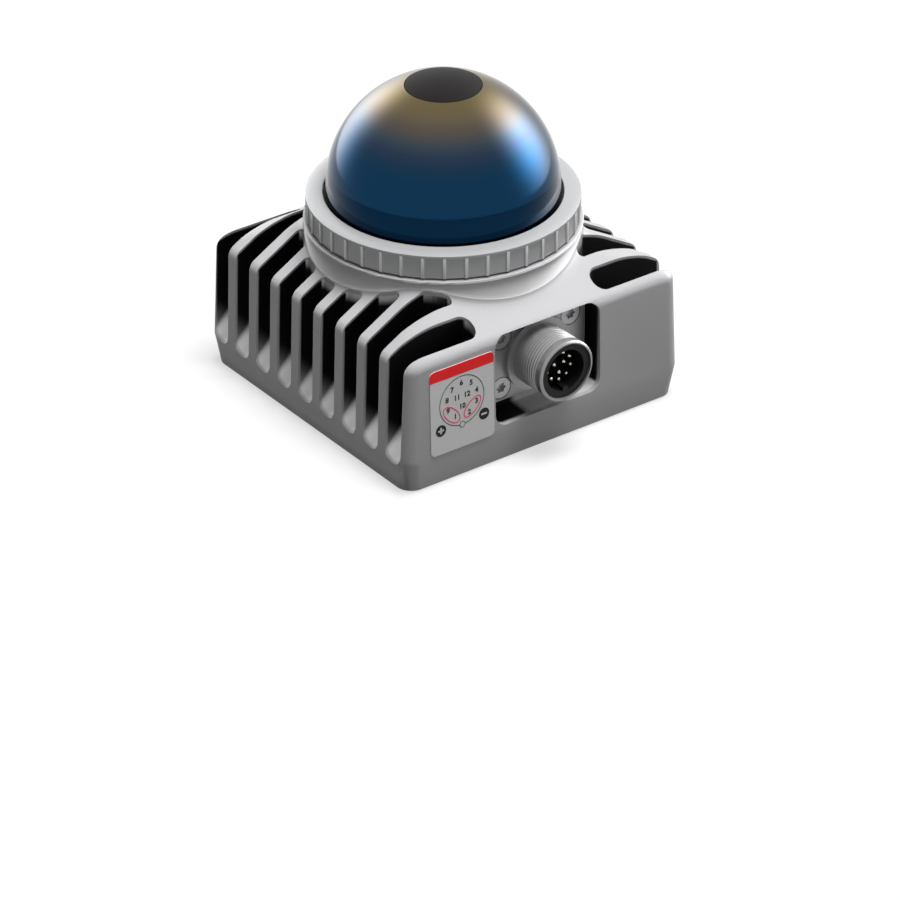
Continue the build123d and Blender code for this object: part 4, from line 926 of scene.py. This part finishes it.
def bandShape():
    low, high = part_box("pinout_label")
    width, top = (high.x - low.x) / mm, (high.z - low.z) / 2 / mm
    corner, foot = label["corner"], top - label["bandHeight"]
    left = [(-width / 2, foot, 0)]
    arcs = [
        (math.cos(math.radians(t)) * corner, math.sin(math.radians(t)) * corner)
        for t in range(0, 91, 15)
    ]
    right = [(width / 2 - corner + x, top - corner + y, 0) for x, y in arcs]
    back = [(-width / 2 + corner - x, top - corner + y, 0) for x, y in reversed(arcs)]
    piece = tracedOutline("band", left + [(width / 2, foot, 0)] + right + back)
    bpy.ops.mesh.select_all(action="SELECT")
    bpy.ops.mesh.edge_face_add()
    bpy.ops.object.mode_set(mode="OBJECT")
    return piece


def makeLabel():
    foil = softCopy("pinout_label", "labelFoil", label["foilEdge"], sharp=50, steps=1)
    seat(foil, "pinout_label", "base", finishes["labelGrey"])
    cx, cy = label["circleCenter"]
    radius, line = label["circleRadius"], label["line"]
    inked("labelBand", [bandShape()], finishes["bandRed"])
    keyAt = (cx, cy - radius + label["keyLift"])
    key = flatDisc("key", keyAt, label["keyRadius"], label["keyRadius"] - line)
    circle = flatDisc("circle", (cx, cy), radius, radius - line)
    inked("labelCircle", [circle, key], finishes["printBlack"])
    numbers = [figure(number, at, label["figure"]) for number, at in label["figures"].items()]
    inked("labelNumbers", numbers, finishes["printBlack"])
    ovals = [
        flatDisc(
            "oval", at, label["ovalLength"] / 2, label["ovalLength"] / 2 - label["ovalLine"],
            squeeze=label["ovalSqueeze"], turn=turn,
        )
        for at, turn in label["ovals"]
    ]
    inked("labelOvals", ovals, finishes["ovalRed"])
    signs = [flatDisc("sign", label[at], label["signRadius"]) for at in ("plusAt", "minusAt")]
    inked("labelSigns", signs, finishes["printBlack"])
    long, thin = label["stroke"]
    strokes = [bar("stroke", label[at], long, thin) for at in ("plusAt", "minusAt")]
    strokes.append(bar("stroke", label["plusAt"], thin, long))
    strokes.append(flatDisc("keyHole", keyAt, label["keyRadius"] - line))
    inked("labelStrokes", strokes, finishes["labelGrey"], label["ink"])


makeLabel()
print("label done")


# Finishes of the CAD pieces that keep their own shape
nodeFinishes = {
    "base_plate": "plateSilver", "base_screws": "screwSteel", "base_seal": "blackRubber",
    "connector_gasket": "blackRubber", "connector_pins": "paleContact", "connector_board": "blackChip",
    "dome_gasket": "blackRubber", "dome_seal": "blackRubber", "power_board": "blackChip",
    "main_board": "blackChip", "processor": "blackChip", "heat_pad": "softPad",
    "board_posts": "plainBrass", "board_spacers": "plainBrass", "board_screws": "screwSteel",
    "motor_mount": "plateSilver", "motor_mount_screws": "screwSteel", "lower_bearing": "bearingSteel",
    "upper_bearing": "bearingSteel", "stator_core": "laminatedSteel", "stator_coils": "copperWire",
    "fixed_power_coil": "copperWire", "moving_power_coil": "copperWire", "encoder_disc": "encoderFilm",
    "encoder_sensor": "blackChip", "head_shaft": "screwSteel", "rotor_bell": "satinNickel",
    "magnet_ring": "magnetGrey", "head_frame": "blackFrame", "head_screws": "screwSteel",
    "scan_mirror": "mirrorFace", "mirror_shaft": "screwSteel", "mirror_bearings": "bearingSteel",
    "mirror_motor_stator": "laminatedSteel", "mirror_motor_rotor": "satinNickel",
    "laser_barrel": "blackFrame", "laser_lens": "mirrorFace", "receiver_barrel": "blackFrame",
    "receiver_lens": "mirrorFace", "optics_board": "blackChip", "counterweight": "plainBrass",
}
for nodeName, finishName in nodeFinishes.items():
    node = frame["nodes"][nodeName]
    node.data.materials.clear()
    node.data.materials.append(finishes[finishName])
print("CAD pieces dressed:", len(nodeFinishes))


# Floor, light and camera
stage = {
    "floorSize": 0.5, "floorWhite": 0.28, "floorBounce": 0.05, "floorGlow": 0.627,
    "skyLevel": 0.06, "front": {"azimuth": 4, "height": 18, "level": 0.50, "power": 4.0},
    "glows": [
        {"azimuth": 80, "height": 17, "level": 14.0, "power": 14.0},
        {"azimuth": -178, "height": 9, "level": 5.0, "power": 14.0},
    ],
    "key": {"place": (0.10, -0.10, 0.90), "size": 0.45, "level": 20.5},
}


def direction(azimuth, height):
    turn, tilt = math.radians(azimuth), math.radians(height)
    return Vector((math.sin(turn) * math.cos(tilt), -math.cos(turn) * math.cos(tilt), math.sin(tilt)))


def whiteForViewer(nodes, link):  # 1 on rays that show the background, 0 on the light itself
    path = nodes.new("ShaderNodeLightPath")
    first = nodes.new("ShaderNodeMath")
    first.operation = "MAXIMUM"
    second = nodes.new("ShaderNodeMath")
    second.operation = "MAXIMUM"
    link(path.outputs["Is Camera Ray"], first.inputs[0])
    link(path.outputs["Is Glossy Ray"], first.inputs[1])
    link(first.outputs[0], second.inputs[0])
    link(path.outputs["Is Transmission Ray"], second.inputs[1])
    return second


def makeFloor():
    unselectAll()
    bpy.ops.mesh.primitive_plane_add(size=stage["floorSize"], location=(0, 0, cadBox[0].z - 0.0002))
    floor = bpy.context.object
    floor.name = "studioFloor"
    material, surface = blankFinish("floorWhite", 0.9, 0.0)
    nodes, link = material.node_tree.nodes, material.node_tree.links.new
    surface.inputs["Specular IOR Level"].default_value = 0.0
    seen = whiteForViewer(nodes, link)
    tint = nodes.new("ShaderNodeMix")
    tint.data_type = "RGBA"
    tint.inputs["A"].default_value = (*[stage["floorBounce"]] * 3, 1)
    tint.inputs["B"].default_value = (*[stage["floorWhite"]] * 3, 1)
    glow = nodes.new("ShaderNodeMath")
    glow.operation = "MULTIPLY"
    glow.inputs[1].default_value = stage["floorGlow"]
    link(seen.outputs[0], tint.inputs["Factor"])
    link(tint.outputs["Result"], surface.inputs["Base Color"])
    surface.inputs["Emission Color"].default_value = (1, 1, 1, 1)
    link(seen.outputs[0], glow.inputs[0])
    link(glow.outputs[0], surface.inputs["Emission Strength"])
    floor.data.materials.append(material)


def glowNode(tree, place, glow):  # a soft round light in the sky
    dot = tree.nodes.new("ShaderNodeVectorMath")
    dot.operation = "DOT_PRODUCT"
    tree.links.new(place, dot.inputs[0])
    dot.inputs[1].default_value = direction(glow["azimuth"], glow["height"])
    above = mathNode(tree, "MAXIMUM", dot.outputs["Value"], 0.0)
    return mathNode(tree, "MULTIPLY", mathNode(tree, "POWER", above, glow["power"]), glow["level"])


def makeSky():  # dim on the object, white behind it, with two soft lights to reflect
    world = bpy.data.worlds.new("studioSky")
    bpy.context.scene.world = world
    world.use_nodes = True
    tree = world.node_tree
    background = tree.nodes["Background"]
    place = tree.nodes.new("ShaderNodeTexCoord").outputs["Generated"]
    lit = mathNode(tree, "ADD", glowNode(tree, place, stage["front"]), stage["skyLevel"])
    shown = 1.0
    for glow in stage["glows"]:
        shown = mathNode(tree, "ADD", glowNode(tree, place, glow), shown)
    seen = whiteForViewer(tree.nodes, tree.links.new)
    tree.links.new(blended(tree, "FLOAT", seen.outputs[0], lit, shown), background.inputs["Strength"])
    background.inputs["Color"].default_value = (1, 1, 1, 1)


def makeKey():
    key = stage["key"]
    lamp = bpy.data.lights.new("keyLight", "AREA")
    lamp.size = key["size"]
    lamp.energy = key["level"] * math.pi * key["size"] ** 2
    light = bpy.data.objects.new("keyLight", lamp)
    bpy.context.collection.objects.link(light)
    light.location = key["place"]
    light.rotation_euler = (-Vector(key["place"])).to_track_quat("-Z", "Y").to_euler()
    light.visible_glossy = False


view = {
    "azimuth": -36.43, "height": 28.52, "away": 923.6, "lens": 200.76,
    "target": (0, 0, 29.08), "frameSize": 900, "targetPixel": (443.55, 237.64), "sensor": 36.0,
}


def makeCamera():
    turn = math.radians(view["azimuth"])
    back = direction(view["azimuth"], view["height"])
    right = Vector((math.cos(turn), math.sin(turn), 0))
    up = back.cross(right)
    pixel = view["sensor"] / view["lens"] / view["frameSize"] * view["away"]
    half = view["frameSize"] / 2
    offRight = (half - view["targetPixel"][0]) * pixel
    offUp = (view["targetPixel"][1] - half) * pixel
    camera = bpy.data.objects.new("photoCamera", bpy.data.cameras.new("photoCamera"))
    bpy.context.collection.objects.link(camera)
    camera.data.sensor_width = view["sensor"]
    camera.data.lens = view["lens"]
    camera.data.clip_start = 0.01
    target = Vector(view["target"]) * mm
    camera.location = target + back * view["away"] * mm
    aim = target + (right * offRight + up * offUp) * mm
    camera.rotation_euler = (aim - camera.location).to_track_quat("-Z", "Y").to_euler()
    bpy.context.scene.camera = camera


makeFloor()
makeSky()
makeKey()
makeCamera()
bpy.context.scene.view_settings.view_transform = "Standard"
print("floor, light and camera ready")
